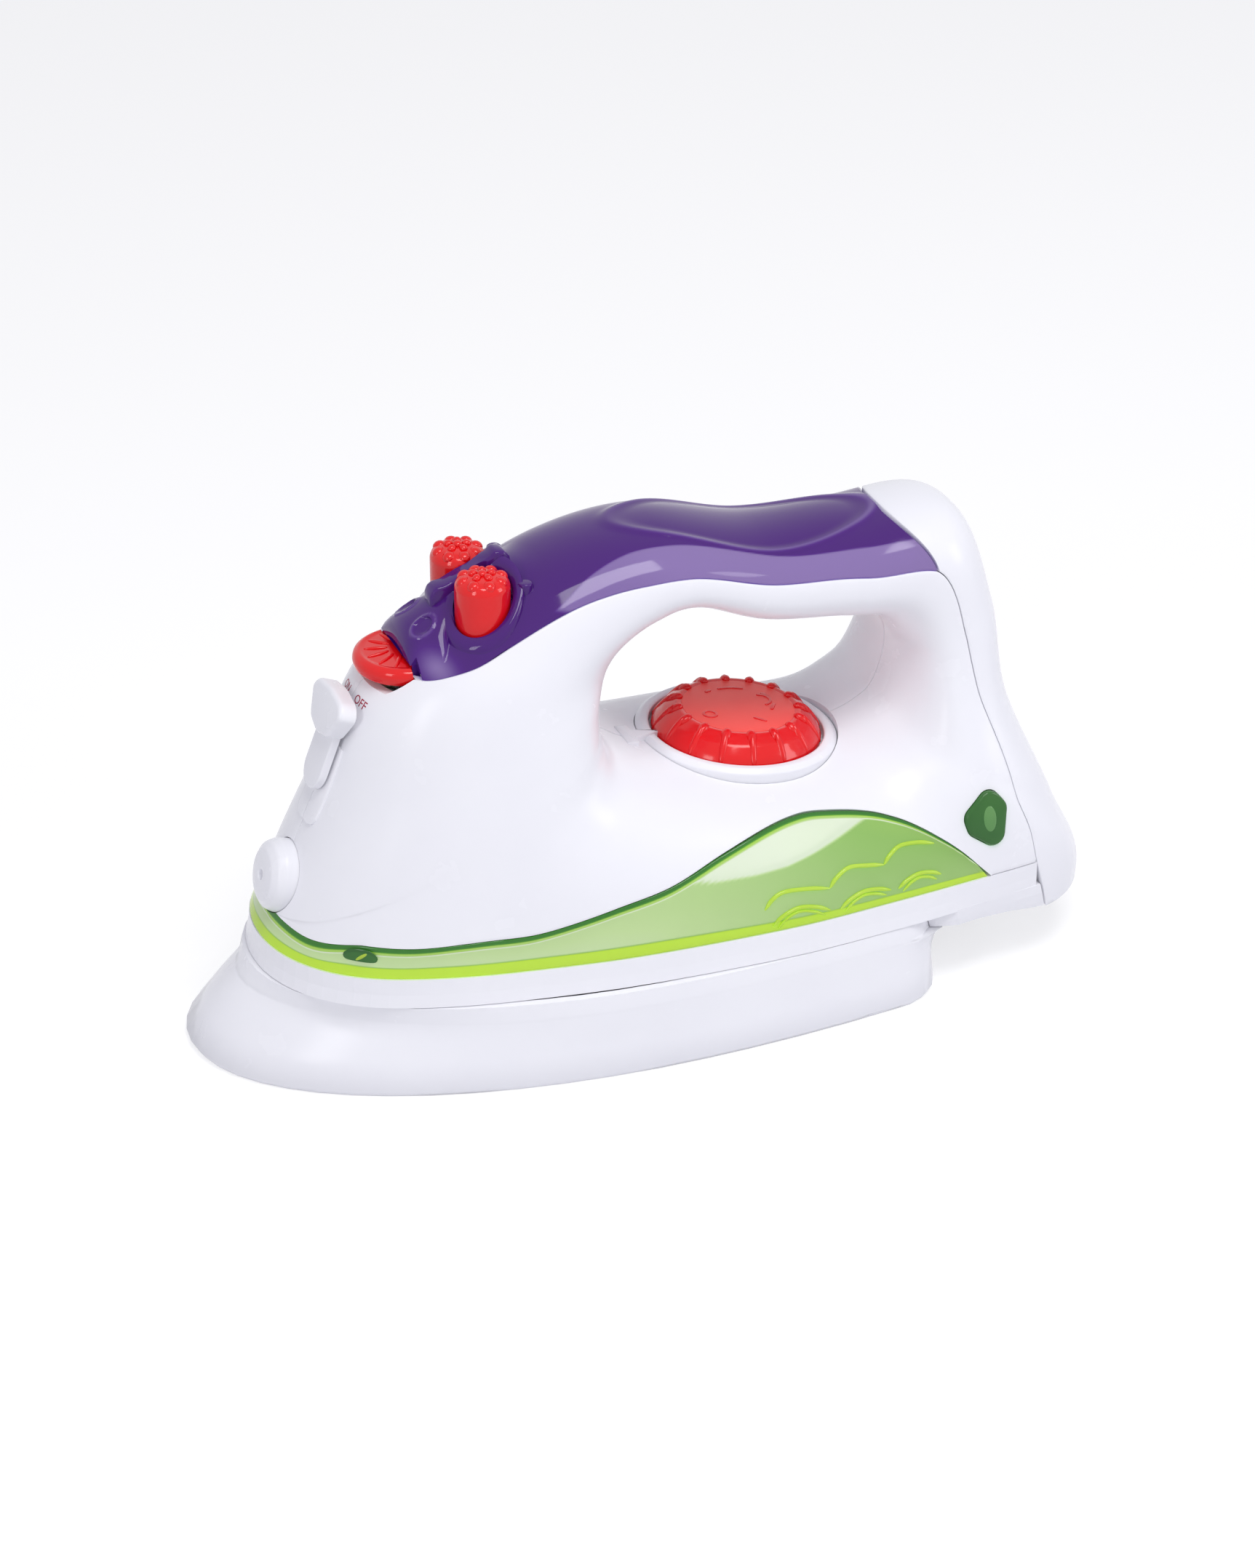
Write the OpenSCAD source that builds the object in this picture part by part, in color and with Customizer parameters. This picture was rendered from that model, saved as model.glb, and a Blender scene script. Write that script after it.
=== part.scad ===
// Toy steam iron with light and sound: two moulded halves under a see-through handle cover,
// a tank window round the nose, push buttons, a turning dial and a swinging ON/OFF lever.
// Nose at -X, rear at +X, sole on Z = 0, middle plane at Y = 0. Millimetres.

/* [Overall] */
// Length from the tip of the sole to the back of the heel
iron_length = 217; // [205:1:230]
// Height of the handle crest above the table
iron_height = 115.5; // [111:0.5:122]
// Width of the upper body where it is widest
body_width = 90; // [86:0.5:95]

/* [Shells] */
// Wall of the moulded shells
wall = 2.2; // [1.8:0.1:2.6]
// Wall of the see-through cover and window
clear_wall = 1.8; // [1.4:0.1:2.2]
// Gap along the seams between fixed shells
seam = 0.2; // [0.1:0.05:0.3]
// Height of the parting plane between base and body
part_z = 27.2; // [26.5:0.1:28]
// Height at which the heel ends
heel_z = 15; // [14:0.5:16]

/* [Sole] */
// Width of the sole
sole_width = 99.6; // [97:0.2:106]
// Height of the crease between sole and base
crease_z = 20.5; // [20:0.1:21]
// Thickness of the flat sole
sole_floor = 2.4; // [2:0.1:2.8]
// Back of the sole
sole_rear = 62.5; // [60:0.5:64]

/* [Dial] */
// Diameter of the knob at its foot
dial_d = 40; // [36:0.5:41]
// Diameter of the knob's flat top
dial_top_d = 30; // [24:0.5:32]
// Height of the knob
dial_h = 7; // [6:0.5:9]
// Number of grip ribs round the knob
dial_ribs = 16; // [10:1:20]
// Diameter of the dial's shaft
dial_shaft_d = 8; // [6:0.5:10]
// Running clearance of shafts and trunnions, on the radius
run_gap = 0.08; // [0.05:0.01:0.1]
// Diameter of the ring round the dial
ring_d = 47.5; // [45:0.5:49]
// Height of the ring above the deck
ring_rise = 1.4; // [1:0.1:2]

/* [Buttons] */
// Diameter of the push buttons
button_d = 12.6; // [12:0.2:13.2]
// Distance between the two push buttons
button_pitch = 16; // [15.6:0.2:17]
// Height of the button tops above the top line of the handle
button_rise = 8; // [7:0.5:9]
// Travel of the push buttons
button_travel = 3; // [2:0.25:3.5]
// Clearance round moving buttons
button_gap = 0.35; // [0.3:0.05:0.45]
// Diameter of the front button
disc_d = 24; // [22:0.5:25]
// Thickness of the front button
disc_h = 4.6; // [4:0.2:5.2]
// Tilt of the front button when pressed, in degrees
disc_tilt = 3.5; // [2.5:0.5:4]

/* [Switch and nozzle] */
// Width of the switch knob
knob_w = 19; // [16:0.5:21]
// Swing of the switch lever to each side, in degrees
lever_swing = 11; // [6:1:12]
// Diameter of the lever's pivot pin
lever_pin_d = 4; // [3:0.25:5]
// Diameter of the spray nozzle
nozzle_d = 17; // [15:0.5:19]
// How far the nozzle stands out of the nose
nozzle_out = 4.5; // [2:0.5:6]

/* [Battery box] */
// Diameter of a cell
cell_d = 14.3; // [13.8:0.1:14.5]
// Length of a cell
cell_len = 50; // [48:0.5:51]
// Room for a contact at each end of a cell
contact_room = 5; // [4:0.5:7]

/* [Hidden] */
$fn = 48;

// Colours
white = [0.93, 0.93, 0.96];
violet = [0.32, 0.15, 0.6, 0.8];
lime = [0.55, 0.8, 0.2, 0.7];
red = [0.88, 0.05, 0.05];
steel = [0.75, 0.76, 0.78];
board_green = [0.1, 0.4, 0.2];

// Design stations round the grip opening, at the nominal size. Each row: point on the opening (x, z),
// point on the outside (x, z), half width, where it is widest, and the inner and outer roundness.
nominal = [217, 90, 115.5];
stations = [
    [25, 55.6, 15, -30, 45, 0.4, 2.9, 2.2],
    [3, 58, -45, -30, 43.6, 0.4, 2.75, 2.2],
    [-8, 63.5, -88, -22, 39.6, 0.39, 2.75, 2.2],
    [-11.5, 69, -99.5, 3, 35.4, 0.39, 2.8, 2.1],
    [-12, 74, -88.7, 34, 32.2, 0.39, 2.7, 2.1],
    [-11, 80, -76.2, 61, 28.8, 0.4, 2.5, 2.1],
    [-8, 86, -65, 86, 25, 0.42, 2.3, 2.1],
    [-3, 91, -48, 99, 22.5, 0.42, 2.2, 2.1],
    [4, 94, -22, 112, 20.5, 0.42, 2.2, 2.1],
    [12, 94.7, 4, 115.5, 19.5, 0.42, 2.2, 2.1],
    [28, 88, 31, 109.6, 18.5, 0.42, 2.2, 2.1],
    [47, 85.2, 54, 108.6, 19, 0.42, 2.2, 2.1],
    [58.5, 83, 78, 107.2, 20, 0.42, 2.4, 2.3],
    [63.7, 77, 87, 86, 22, 0.45, 2.8, 2.4],
    [64.2, 70, 90, 62, 26.5, 0.48, 2.9, 2.5],
    [61.5, 61.5, 101.5, 34, 34, 0.52, 2.9, 2.6],
    [57, 57.6, 108.5, 13, 38.5, 0.53, 2.9, 2.6],
    [50, 55.2, 98, -20, 41.5, 0.48, 2.9, 2.5],
    [40, 54.4, 62, -30, 43.5, 0.42, 2.9, 2.3]];
turns = len(stations);
stretch = [iron_length / nominal.x, body_width / nominal.y, iron_height / nominal.z];
row_scale = [stretch.x, stretch.z, stretch.x, stretch.z, stretch.y, 1, 1, 1];

// Trim lines on the skin: place along the stations, and share of the way from the opening outwards
window_edge = [[-2.32, 0.43], [-2.25, 0.31], [-2.1, 0.22], [-1.85, 0.15], [-1.5, 0.105], [-1.1, 0.08],
    [-0.6, 0.066], [-0.2, 0.064], [0.2, 0.08], [0.6, 0.12], [1, 0.18], [1.5, 0.24], [2.15, 0.34],
    [2.7, 0.44], [3.2, 0.58], [3.65, 0.77], [3.85, 0.92], [4, 1]];
cover_edge = [[6.2, 0.998], [6.3, 0.972], [6.36, 0.9], [6.47, 0.85], [6.7, 0.79], [7.06, 0.76],
    [7.68, 0.71],
    [8.1, 0.66], [8.66, 0.595], [9.54, 0.58], [10.54, 0.595], [11.27, 0.565], [11.9, 0.575]];
rear_edge = [[11.9, 0.575], [12.5, 0.51], [13.2, 0.465], [13.8, 0.49], [14.4, 0.525], [15, 0.52],
    [15.4, 0.515], [15.8, 0.545], [16.18, 0.6], [16.48, 0.698]];
flange_edge = [[6.9, 0.82], [7.63, 0.77], [8.25, 0.84], [8.77, 0.88], [9.1, 0.88], [9.92, 0.85],
    [10.57, 0.82], [11.6, 0.82]];
window_rear = -2.32;
window_front = 4;
cover_front = 6.2;
cover_rear_side = 11.9;
cover_rear_top = 11.25;
seam_low = 16.18;
seam_foot = 16.48;

// Places on the body
dial_place = -0.1;
dial_deck = skin(dial_place, 0, 0);
dial_tilt = atan2(skin(dial_place + 0.5, 0, 0).z - skin(dial_place - 0.5, 0, 0).z,
    skin(dial_place - 0.5, 0, 0).x - skin(dial_place + 0.5, 0, 0).x);
ledge_drop = 3.2;
ledge_h = 2.5;
ledge_w = 3;
ledge_out = 2.2;
ring_h = ledge_drop + ring_rise;
dial_lift = 0.4;
dial_foot = -0.8;
dial_rib_r = 1.5;
pointer_z = ring_rise - 1.6;
rib_lean = -atan2(dial_d - dial_top_d - 2.4, 1.5 * dial_h);
washer_h = 1;
washer_d = dial_shaft_d + 6;
button_x = -38.3 * stretch.x;
button_y = button_pitch / 2;
button_deck = skin(place_at(button_x), 180, 0).z;
button_top = button_deck + button_rise;
guide_wall = 1.5;
guide_drop = 11.6;
guide_foot = button_deck - guide_drop;
// Collar round each button: wall, height of its middle and slope outwards and to the front
collar_wall = 2.5;
collar_draft = 0.6;
collar_rise = 0.8;
collar_h = 9;
collar_out = 27;
collar_front = 30;
// Ridge between the buttons, seen from the side, from the middle of the buttons
ridge_w = 4.8;
ridge_side = [[-10.3, -7], [-10.2, 0.4], [-9.6, 1.9], [-8.4, 2.6], [-6.6, 2.8], [0.5, 6.1], [4.2, 7.9],
    [5.3, 9.1], [7.6, 8.8], [8.8, 7.2], [10, 2], [10, -2]];
lug_at = [9.4, 4.4];
lug_d = 3.4;
flange_h = 1.5;
collar_r = button_d / 2 + button_gap + collar_wall;
board_drop = 22.6;
board_z = button_deck - board_drop;
board_t = 1.6;
tact_h = 3;
board_hole_y = 17.8;
disc_x = -54 * stretch.x;
disc_drop = 7;
disc_z = skin(place_at(disc_x), 180, 0).z - disc_drop;
disc_rear = 6.9;
// Hood of the handle cover over the front button: its front, lift, and half widths at the front and rear
hood_front = disc_x - 2.6;
hood_rise = 4.2;
hood_round = 3;
hood_wide = 14;
hood_slim = 9;
// Width of the front button under the hood
disc_slim = 19;
trunnion_x = disc_x + 5;
trunnion_z = disc_z - 2.6;
trunnion_d = 4;
trunnion_len = 16;
disc_spring_x = disc_x - 4;
shelf_drop = 11.4;
shelf_z = disc_z - shelf_drop;
lever_place = 5.2;
lever_base = skin(lever_place, 180, 0);
lever_tilt = atan2(skin(lever_place + 0.4, 180, 0).z - lever_base.z,
    skin(lever_place + 0.4, 180, 0).x - lever_base.x);
lever_lift = 1;
lever_t = 1.8;
lever_reach = 15;
pad_rise = 0.5;
pad_w = 11;
pad_down = 13;
nozzle_place = 4.24;
nozzle_base = skin(nozzle_place, 180, 0);
nozzle_tilt = 14;
lens_u = 16.1;
lens_phi = angle_of(0.338);
lens_at = skin(lens_u, lens_phi, 0);
lens_z = unit(cross(skin(lens_u + 0.1, lens_phi, 0) - lens_at, skin(lens_u, lens_phi + 4, 0) - lens_at));
lens_x = unit(cross([0, 0, 1], lens_z));
lens_y = cross(lens_z, lens_x);
lens_out = 1;
lens_r = 3;
screw_spots = [[4.3, 0.55], [6.85, 0.4], [12, 0.35], [14.5, 0.31], [2.5, 0.31]];
screw_d = 2.6;
screw_head_d = 5;
screw_head_h = 1.8;
screw_len = 12;
counterbore_floor = 5;
boss_wall = 1.6;
box_x = [-18, cell_len + 2 * contact_room - 18];
box_half = cell_d + 1.2;
box_wall = 1.5;
cell_z = sole_floor + 0.5 + cell_d / 2;
floor_top = crease_z + wall;
pcb = [44, 30, 1.6];
pcb_x = -46;
pcb_z = floor_top + 4;
speaker_d = 28;
speaker_x = 10;
sole_screw_spots = [[-66, 0], [-34, 26], [-34, -26], [54, 27], [54, -27]];

// Smooth curve through the stations
function station_row(k) = [for (c = [0 : 7]) stations[(k + turns) % turns][c] * row_scale[c]];
function station(u) = let (i = floor(u), t = u - i, a = station_row(i - 1), b = station_row(i),
    c = station_row(i + 1), d = station_row(i + 2))
    (2 * b + (c - a) * t + (2 * a - 5 * b + 4 * c - d) * t * t + (3 * b - a - 3 * c + d) * t * t * t) / 2;
// Point of the skin: u runs along the stations, phi from the opening (0) over the left side to the
// outside (180) and back over the right side, inset is the depth below the surface
function skin(u, phi, inset) = let (s = station(u), v = (1 - cos(phi)) / 2, near = v < s[5],
    q = near ? 1 - v / s[5] : (v - s[5]) / (1 - s[5]), n = near ? s[6] : s[7],
    y = (s[4] - inset) * pow(max(0, 1 - pow(q, n)), 1 / n),
    span = norm([s[2] - s[0], s[3] - s[1]]), k = v + inset * (1 - 2 * v) / span)
    [s[0] + (s[2] - s[0]) * k, sin(phi) < 0 ? y : -y, s[1] + (s[3] - s[1]) * k];
function angle_of(v) = acos(1 - 2 * min(max(v, 0), 1));
// Share of the way along a station at which it reaches a height
function cut_share(u, z) = let (s = station(u)) s[3] < z ? (s[1] - z) / (s[1] - s[3]) : 1;
// Station whose outside point is at a height, by halving
function station_at(z, low, high, n = 24) = n == 0 ? low :
    let (m = (low + high) / 2) station(m)[3] < z ? station_at(z, m, high, n - 1) : station_at(z, low, m,
        n - 1);
// Station whose outside point is at a place along the length, by halving
function place_at(x, low = 5, high = 9, n = 24) = let (m = (low + high) / 2) n == 0 ? m :
    skin(m, 180, 0).x < x ? place_at(x, m, high, n - 1) : place_at(x, low, m, n - 1);
// Half width of the skin at a point of the middle plane between two stations
function beside(p, u) = let (s = station(u)) cross([s[2] - s[0], s[3] - s[1]], [p.x - s[0], p.y - s[1]]);
function station_through(p, low, high, n = 24) = let (m = (low + high) / 2) n == 0 ? m :
    beside(p, m) * beside(p, low) > 0 ? station_through(p, m, high, n - 1) : station_through(p, low, m,
        n - 1);
function half_width(x, z, low = 4.5, high = 9) = let (u = station_through([x, z], low, high),
    s = station(u),
    run = [s[2] - s[0], s[3] - s[1]], v = ([x - s[0], z - s[1]] * run) / (run * run)) -skin(u,
        angle_of(v), 0).y;
function ease(low, high, x) = let (k = min(max((x - low) / (high - low), 0), 1)) k * k * (3 - 2 * k);
// Lift of the handle cover: a hood over the front button that narrows to a ridge between the buttons
function hood(x, y) = let (k = min(max((x - hood_front) / hood_round, 0), 1),
    slim = ease(disc_x + 4, disc_x + 8.5, x),
    across = y / (hood_wide + (hood_slim - hood_wide) * slim))
    hood_rise * sqrt(1 - (1 - k) * (1 - k)) * max(0, 1 - across * across) * ease(button_x + 15, button_x,
        x);
function lifted(p) = [p.x, p.y, p.z + hood(p.x, p.y)];
// Smooth value from a trim line
function knot_slope(t, i) = let (a = max(i - 1, 0), b = min(i + 1, len(t) - 1))
    (t[b][1] - t[a][1]) / (t[b][0] - t[a][0]);
function trim_at(t, u) = let (last = len(t) - 2, hits = [for (i = [0 : last]) if (u >= t[i][0]) i],
    i = len(hits) == 0 ? 0 : hits[len(hits) - 1], w = t[i + 1][0] - t[i][0],
    k = min(max((u - t[i][0]) / w, 0), 1))
    t[i][1] * (1 + 2 * k) * (1 - k) * (1 - k) + knot_slope(t, i) * w * k * (1 - k) * (1 - k)
    + t[i + 1][1] * k * k * (3 - 2 * k) + knot_slope(t, i + 1) * w * k * k * (k - 1);
// Share that moves a trim line by a distance along its station
function share_of(u, d) = let (s = station(u)) d / norm([s[2] - s[0], s[3] - s[1]]);
function spread(a, b, n) = [for (i = [0 : n]) a + (b - a) * i / n];
function unit(v) = v / norm(v);
function join(lists) = [for (l = lists) each l];

// Two triangles that split a four-sided patch along its shorter diagonal
function flat_pair(points, a, b, c, d) = norm(points[a] - points[c]) <= norm(points[b] - points[d]) ?
    [[a, b, c], [a, c, d]] : [[a, b, d], [b, c, d]];
// Closed solid between an outer and an inner grid of points
module grid_solid(outer, inner, loop = false) {
    n = len(outer);
    m = len(outer[0]);
    all = n * m;
    steps = loop ? n - 1 : n - 2;
    points = concat(join(outer), join(inner));
    skins = [for (i = [0 : steps]) for (j = [0 : m - 2]) let (a = i * m + j, b = ((i + 1) % n) * m + j)
        each concat(flat_pair(points, a, a + 1, b + 1, b), flat_pair(points, all + a, all + b,
            all + b + 1, all + a + 1))];
    rims = [for (i = [0 : steps]) let (a = i * m, b = ((i + 1) % n) * m, c = a + m - 1, d = b + m - 1)
        each [[a, b, all + b], [a, all + b, all + a], [c, all + d, d], [c, all + c, all + d]]];
    ends = loop ? [] : [for (j = [0 : m - 2]) let (a = j, c = (n - 1) * m + j)
        each [[a, all + a, all + a + 1], [a, all + a + 1, a + 1],
            [c, all + c + 1, all + c], [c, c + 1, all + c + 1]]];
    polyhedron(points = points, faces = concat(skins, rims, ends), convexity = 8);
}
// Shell between two edges on the skin, each a list of [u, phi]
module skin_strip(edge_a, edge_b, rows, top, bottom, loop = false) {
    function grid(inset) = [for (i = [0 : len(edge_a) - 1]) [for (j = [0 : rows])
        let (p = edge_a[i] + (edge_b[i] - edge_a[i]) * j / rows) skin(p[0], p[1], inset)]];
    grid_solid(grid(top), grid(bottom), loop);
}
// Shell that arches over the outside from a left edge to its mirror image
module skin_arch(sides, middles, rows, top, bottom, hooded = false) {
    function grid(inset) = [for (i = [0 : len(sides) - 1]) [for (j = [0 : rows])
        let (r = 2 * j / rows - 1, u = middles[i] + (sides[i][0] - middles[i]) * r * r,
            p = skin(u, 180 + r * (180 - sides[i][1]), inset)) hooded ? lifted(p) : p]];
    grid_solid(grid(top), grid(bottom));
}
// Solid stacked from symmetric outlines; each level is [z, half outline from the front point backwards]
module stack(levels) {
    n = len(levels[0][1]);
    m = 2 * n - 1;
    points = [for (l = levels) each concat([for (p = l[1]) [p.x, -p.y, l[0]]],
        [for (i = [1 : n - 1]) [l[1][i].x, l[1][i].y, l[0]]])];
    function right(i) = i == 0 ? 0 : n - 1 + i;
    ring = concat([for (i = [0 : n - 1]) i], [for (i = [n - 1 : -1 : 1]) right(i)]);
    top = (len(levels) - 1) * m;
    walls = [for (k = [0 : len(levels) - 2]) for (i = [0 : m - 1])
        let (a = k * m + ring[i], b = k * m + ring[(i + 1) % m])
        each [[a, a + m, b + m], [a, b + m, b]]];
    caps = [for (i = [0 : n - 2]) each concat(
        [[i, i + 1, right(i + 1)], [top + i, top + right(i + 1), top + i + 1]],
        i == 0 ? [] : [[i, right(i + 1), right(i)], [top + i, top + right(i), top + right(i + 1)]])];
    polyhedron(points = points, faces = concat(walls, caps), convexity = 6);
}
// Wire wound into a coil that stands on z = 0
module coil(d, wire, height, curls) {
    rings = curls * 7;
    sides = 5;
    ring_points = [for (i = [0 : rings]) let (a = i * 360 / 7, r = d / 2)
        for (k = [0 : sides - 1]) let (b = k * 360 / sides)
        [(r + wire / 2 * cos(b)) * cos(a), (r + wire / 2 * cos(b)) * sin(a),
            wire / 2 + (height - wire) * i / rings + wire / 2 * sin(b)]];
    walls = [for (i = [0 : rings - 1]) for (k = [0 : sides - 1])
        let (a = i * sides + k, b = i * sides + (k + 1) % sides)
        each [[a, b, b + sides], [a, b + sides, a + sides]]];
    caps = [for (k = [1 : sides - 2]) each [[0, k + 1, k],
        [rings * sides, rings * sides + k, rings * sides + k + 1]]];
    polyhedron(points = ring_points, faces = concat(walls, caps), convexity = 10);
}
// Pan-head screw pointing to -Z with its head above z = 0
module screw(length, d = screw_d) {
    translate([0, 0, -length]) cylinder(d = d, h = length + 0.01);
    difference() {
        cylinder(d1 = screw_head_d, d2 = screw_head_d - 1, h = screw_head_h);
        for (a = [0, 90]) rotate(a) translate([-1.6, -0.35, 0.8]) cube([3.2, 0.7, 2]);
    }
}
module on_deck() {
    translate(dial_deck) rotate([0, dial_tilt, 0]) children();
}
module on_nose(base) {
    translate(base) rotate([lever_tilt, 0, -90]) children();
}
module at_nozzle() {
    translate(nozzle_base) rotate([0, nozzle_tilt - 90, 0]) children();
}

// Outer edge of a body half, round the whole loop
half_us = concat(spread(window_rear, -1.7, 5), spread(-1.4, 1.2, 7), spread(1.5, 3.5, 9),
    [3.68, 3.82, 3.93],
    spread(4, 6.1, 7), [6.2, 6.3, 6.36, 6.45], spread(6.7, 11.9, 16), spread(12.2, 15.8, 10),
        [16, seam_low],
    spread(16.28, 16.62, 3));
function half_edge(u) = u <= window_front ? trim_at(window_edge, u) : u <= cover_front - 0.05 ? 1 :
    u <= cover_rear_side ? trim_at(cover_edge, u) : u <= seam_low ? trim_at(rear_edge, u) : cut_share(u,
        part_z + seam);
module half_shell() {
    translate([0, -seam / 4, 0]) skin_strip([for (u = half_us) [u, 0]],
        [for (u = half_us) [u, angle_of(half_edge(u))]], 9, 0, wall, true);
}
// Raised pad on the nose that the lever rides over
module nose_pad() {
    us = spread(4.55, 5.95, 8);
    intersection() {
        skin_strip([for (u = us) [u, 150]], [for (u = us) [u, 180]], 5, -pad_rise, wall / 2);
        on_nose(lever_base) translate([0, 0, -10]) linear_extrude(20) intersection() {
            offset(r = 2.5) translate([2.5 - pad_w / 2, 2.5 - pad_down])
                square([pad_w - 5, pad_down + 8]);
            translate([0.05, -50]) square([50, 100]);
        }
    }
}
// Seat under the handle cover
module cover_flange() {
    us = spread(6.95, 11.55, 14);
    low = clear_wall + seam;
    skin_strip([for (u = us) [u, angle_of(trim_at(cover_edge, u) - 0.05)]],
        [for (u = us) [u, angle_of(trim_at(flange_edge, u))]], 3, low, low + 1.6);
    skin_strip([for (u = us) [u, angle_of(trim_at(cover_edge, u) - 0.09)]],
        [for (u = us) [u, angle_of(trim_at(cover_edge, u) - 0.02)]], 1, wall / 2, low + 1.4);
}
// Half ring under the deck that carries the dial ring
module dial_ledge() {
    on_deck() translate([0, 0, -ledge_drop - ledge_h]) intersection() {
        difference() {
            cylinder(d = ring_d + 2 * ledge_out, h = ledge_h);
            translate([0, 0, -1]) cylinder(d = ring_d - 2 * ledge_w, h = ledge_h + 2);
        }
        translate([-50, -100.05, -1]) cube([100, 100, 10]);
    }
}
// Boss for the front button's trunnion and shelf for its spring
module trunnion_boss() {
    d = trunnion_d + 3;
    reach = half_width(trunnion_x, trunnion_z + d / 2) - wall / 2;
    translate([trunnion_x, -trunnion_len / 2 + 2, trunnion_z]) rotate([90, 0, 0])
        cylinder(d = d, h = reach - trunnion_len / 2 + 2);
}
module spring_shelf() {
    function reach(x) = wall / 2 - half_width(x, shelf_z);
    ends = [disc_spring_x - 2, disc_spring_x + 4];
    translate([0, 0, shelf_z - 2]) linear_extrude(2) polygon([[ends[0], -0.1], [ends[1], -0.1],
        [ends[1], reach(ends[1])], [ends[0], reach(ends[0])]]);
}
// Rail in each half that carries the button board
module board_rail() {
    function reach(x) = wall / 2 - half_width(x, board_z);
    ends = [button_x - 6.5, button_x + 6.5];
    translate([0, 0, board_z - 2.5]) linear_extrude(2.4) polygon([[ends[0], -15], [ends[1], -15],
        [ends[1], reach(ends[1])], [ends[0], reach(ends[0])]]);
}
module half_cuts() {
    on_deck() cylinder(d = ring_d + 2 * seam, h = 40, center = true);
    on_deck() translate([0, 0, pointer_z - seam]) linear_extrude(10) offset(delta = seam)
        pointer_outline();
    at_nozzle() cylinder(d = nozzle_d + 2 * seam, h = 40, center = true);
    disc_pocket(hood_rise);
    translate([trunnion_x, -trunnion_len / 2 - 0.4, trunnion_z]) rotate([-90, 0, 0])
        cylinder(r = trunnion_d / 2 + run_gap, h = trunnion_len + 0.8);
    on_nose(lever_base) cylinder(r = lever_pin_d / 2 + run_gap, h = 20, center = true);
    lens_plug(seam, -8, 8);
    translate([button_x, -button_y, guide_foot - 2]) cylinder(r = collar_r + collar_draft + 0.3, h = 20);
    translate([button_x, -board_hole_y, board_z - 8]) cylinder(d = screw_d - 0.6, h = 10);
}
// Room for the front button through its tilt
module disc_pocket(room) {
    dip = (disc_d / 2 + trunnion_x - disc_x) * sin(disc_tilt) + 0.3;
    translate([disc_x, 0, disc_z - dip]) linear_extrude(disc_h + dip + room) disc_plan(button_gap);
}
// Outline of the front button: round in front of the hood, slimmer under it
module disc_plan(grow) {
    step = hood_front - disc_x + 0.4 + grow;
    intersection() {
        circle(r = disc_d / 2 + grow);
        union() {
            translate([step - 40, -40]) square([40, 80]);
            translate([-40, -disc_slim / 2 - grow]) square([40 + disc_rear + grow, disc_slim + 2 * grow]);
        }
    }
}
module lens_outline(grow) {
    offset(r = lens_r + grow) polygon([[-2.6, 0.6], [1, 3.6], [2.4, 1.8], [1.4, -3.6], [-2.2, -1]]);
}
module lens_plug(grow, low, high) {
    multmatrix([for (k = [0 : 2]) [lens_x[k], lens_y[k], lens_z[k], lens_at[k]]]) translate([0, 0, low])
        linear_extrude(high - low) lens_outline(grow);
}
module lens() {
    lens_plug(0, -wall - 1.3, lens_out);
    lens_plug(1.4, -wall - 2.5, -wall - 1.2);
}
function spot(s) = skin(s[0], angle_of(s[1]), wall * 0.85);
module bosses(d) {
    for (s = screw_spots) let (p = spot(s)) translate([p.x, -0.05, p.z]) rotate([90, 0, 0])
        cylinder(d = d, h = -p.y);
}
module half_body(boss_d) {
    difference() {
        union() {
            half_shell();
            nose_pad();
            cover_flange();
            bosses(boss_d);
            trunnion_boss();
            spring_shelf();
            board_rail();
            dial_ledge();
        }
        half_cuts();
    }
}

module body_left() {
    color(white) difference() {
        half_body(screw_d + 2 * boss_wall);
        for (s = screw_spots) let (p = spot(s))
            translate([p.x, 1, p.z]) rotate([90, 0, 0])
                cylinder(d = screw_d + 0.1, h = screw_len - counterbore_floor + 2);
    }
}
module body_right() {
    color(white) mirror([0, 1, 0]) difference() {
        half_body(screw_head_d + 1 + 2 * boss_wall);
        for (s = screw_spots) let (p = spot(s)) translate([p.x, 0, p.z]) rotate([90, 0, 0]) {
            translate([0, 0, -1]) cylinder(d = screw_d + 0.4, h = 20);
            translate([0, 0, counterbore_floor]) cylinder(d = screw_head_d + 1, h = 60);
        }
    }
}
module body_screws() {
    color(steel) for (s = screw_spots) let (p = spot(s))
        translate([p.x, counterbore_floor + 0.1, p.z]) rotate([-90, 0, 0]) screw(screw_len - 0.5);
}

module rear_cover() {
    us = concat([cover_rear_side + 0.02], spread(12.3, 16.2, 12), [16.4, seam_foot]);
    foot = station_at(heel_z, 16.9, 15.5);
    sides = [for (u = us) [u, angle_of(trim_at(rear_edge, u) + share_of(u, seam))]];
    middles = [for (u = us) cover_rear_top + 0.02 + (foot - cover_rear_top - 0.02) * (u
        - us[0]) / (seam_foot - us[0])];
    color(white) skin_arch(sides, middles, 12, 0, wall);
}

module button_guides(inner) {
    for (s = [-1, 1]) translate([button_x, s * button_y, guide_foot])
        cylinder(d = button_d + 2 * button_gap + (inner ? 0 : 2 * guide_wall), h = inner ? guide_drop
            + 3 * button_rise : guide_drop - 2);
}
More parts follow.
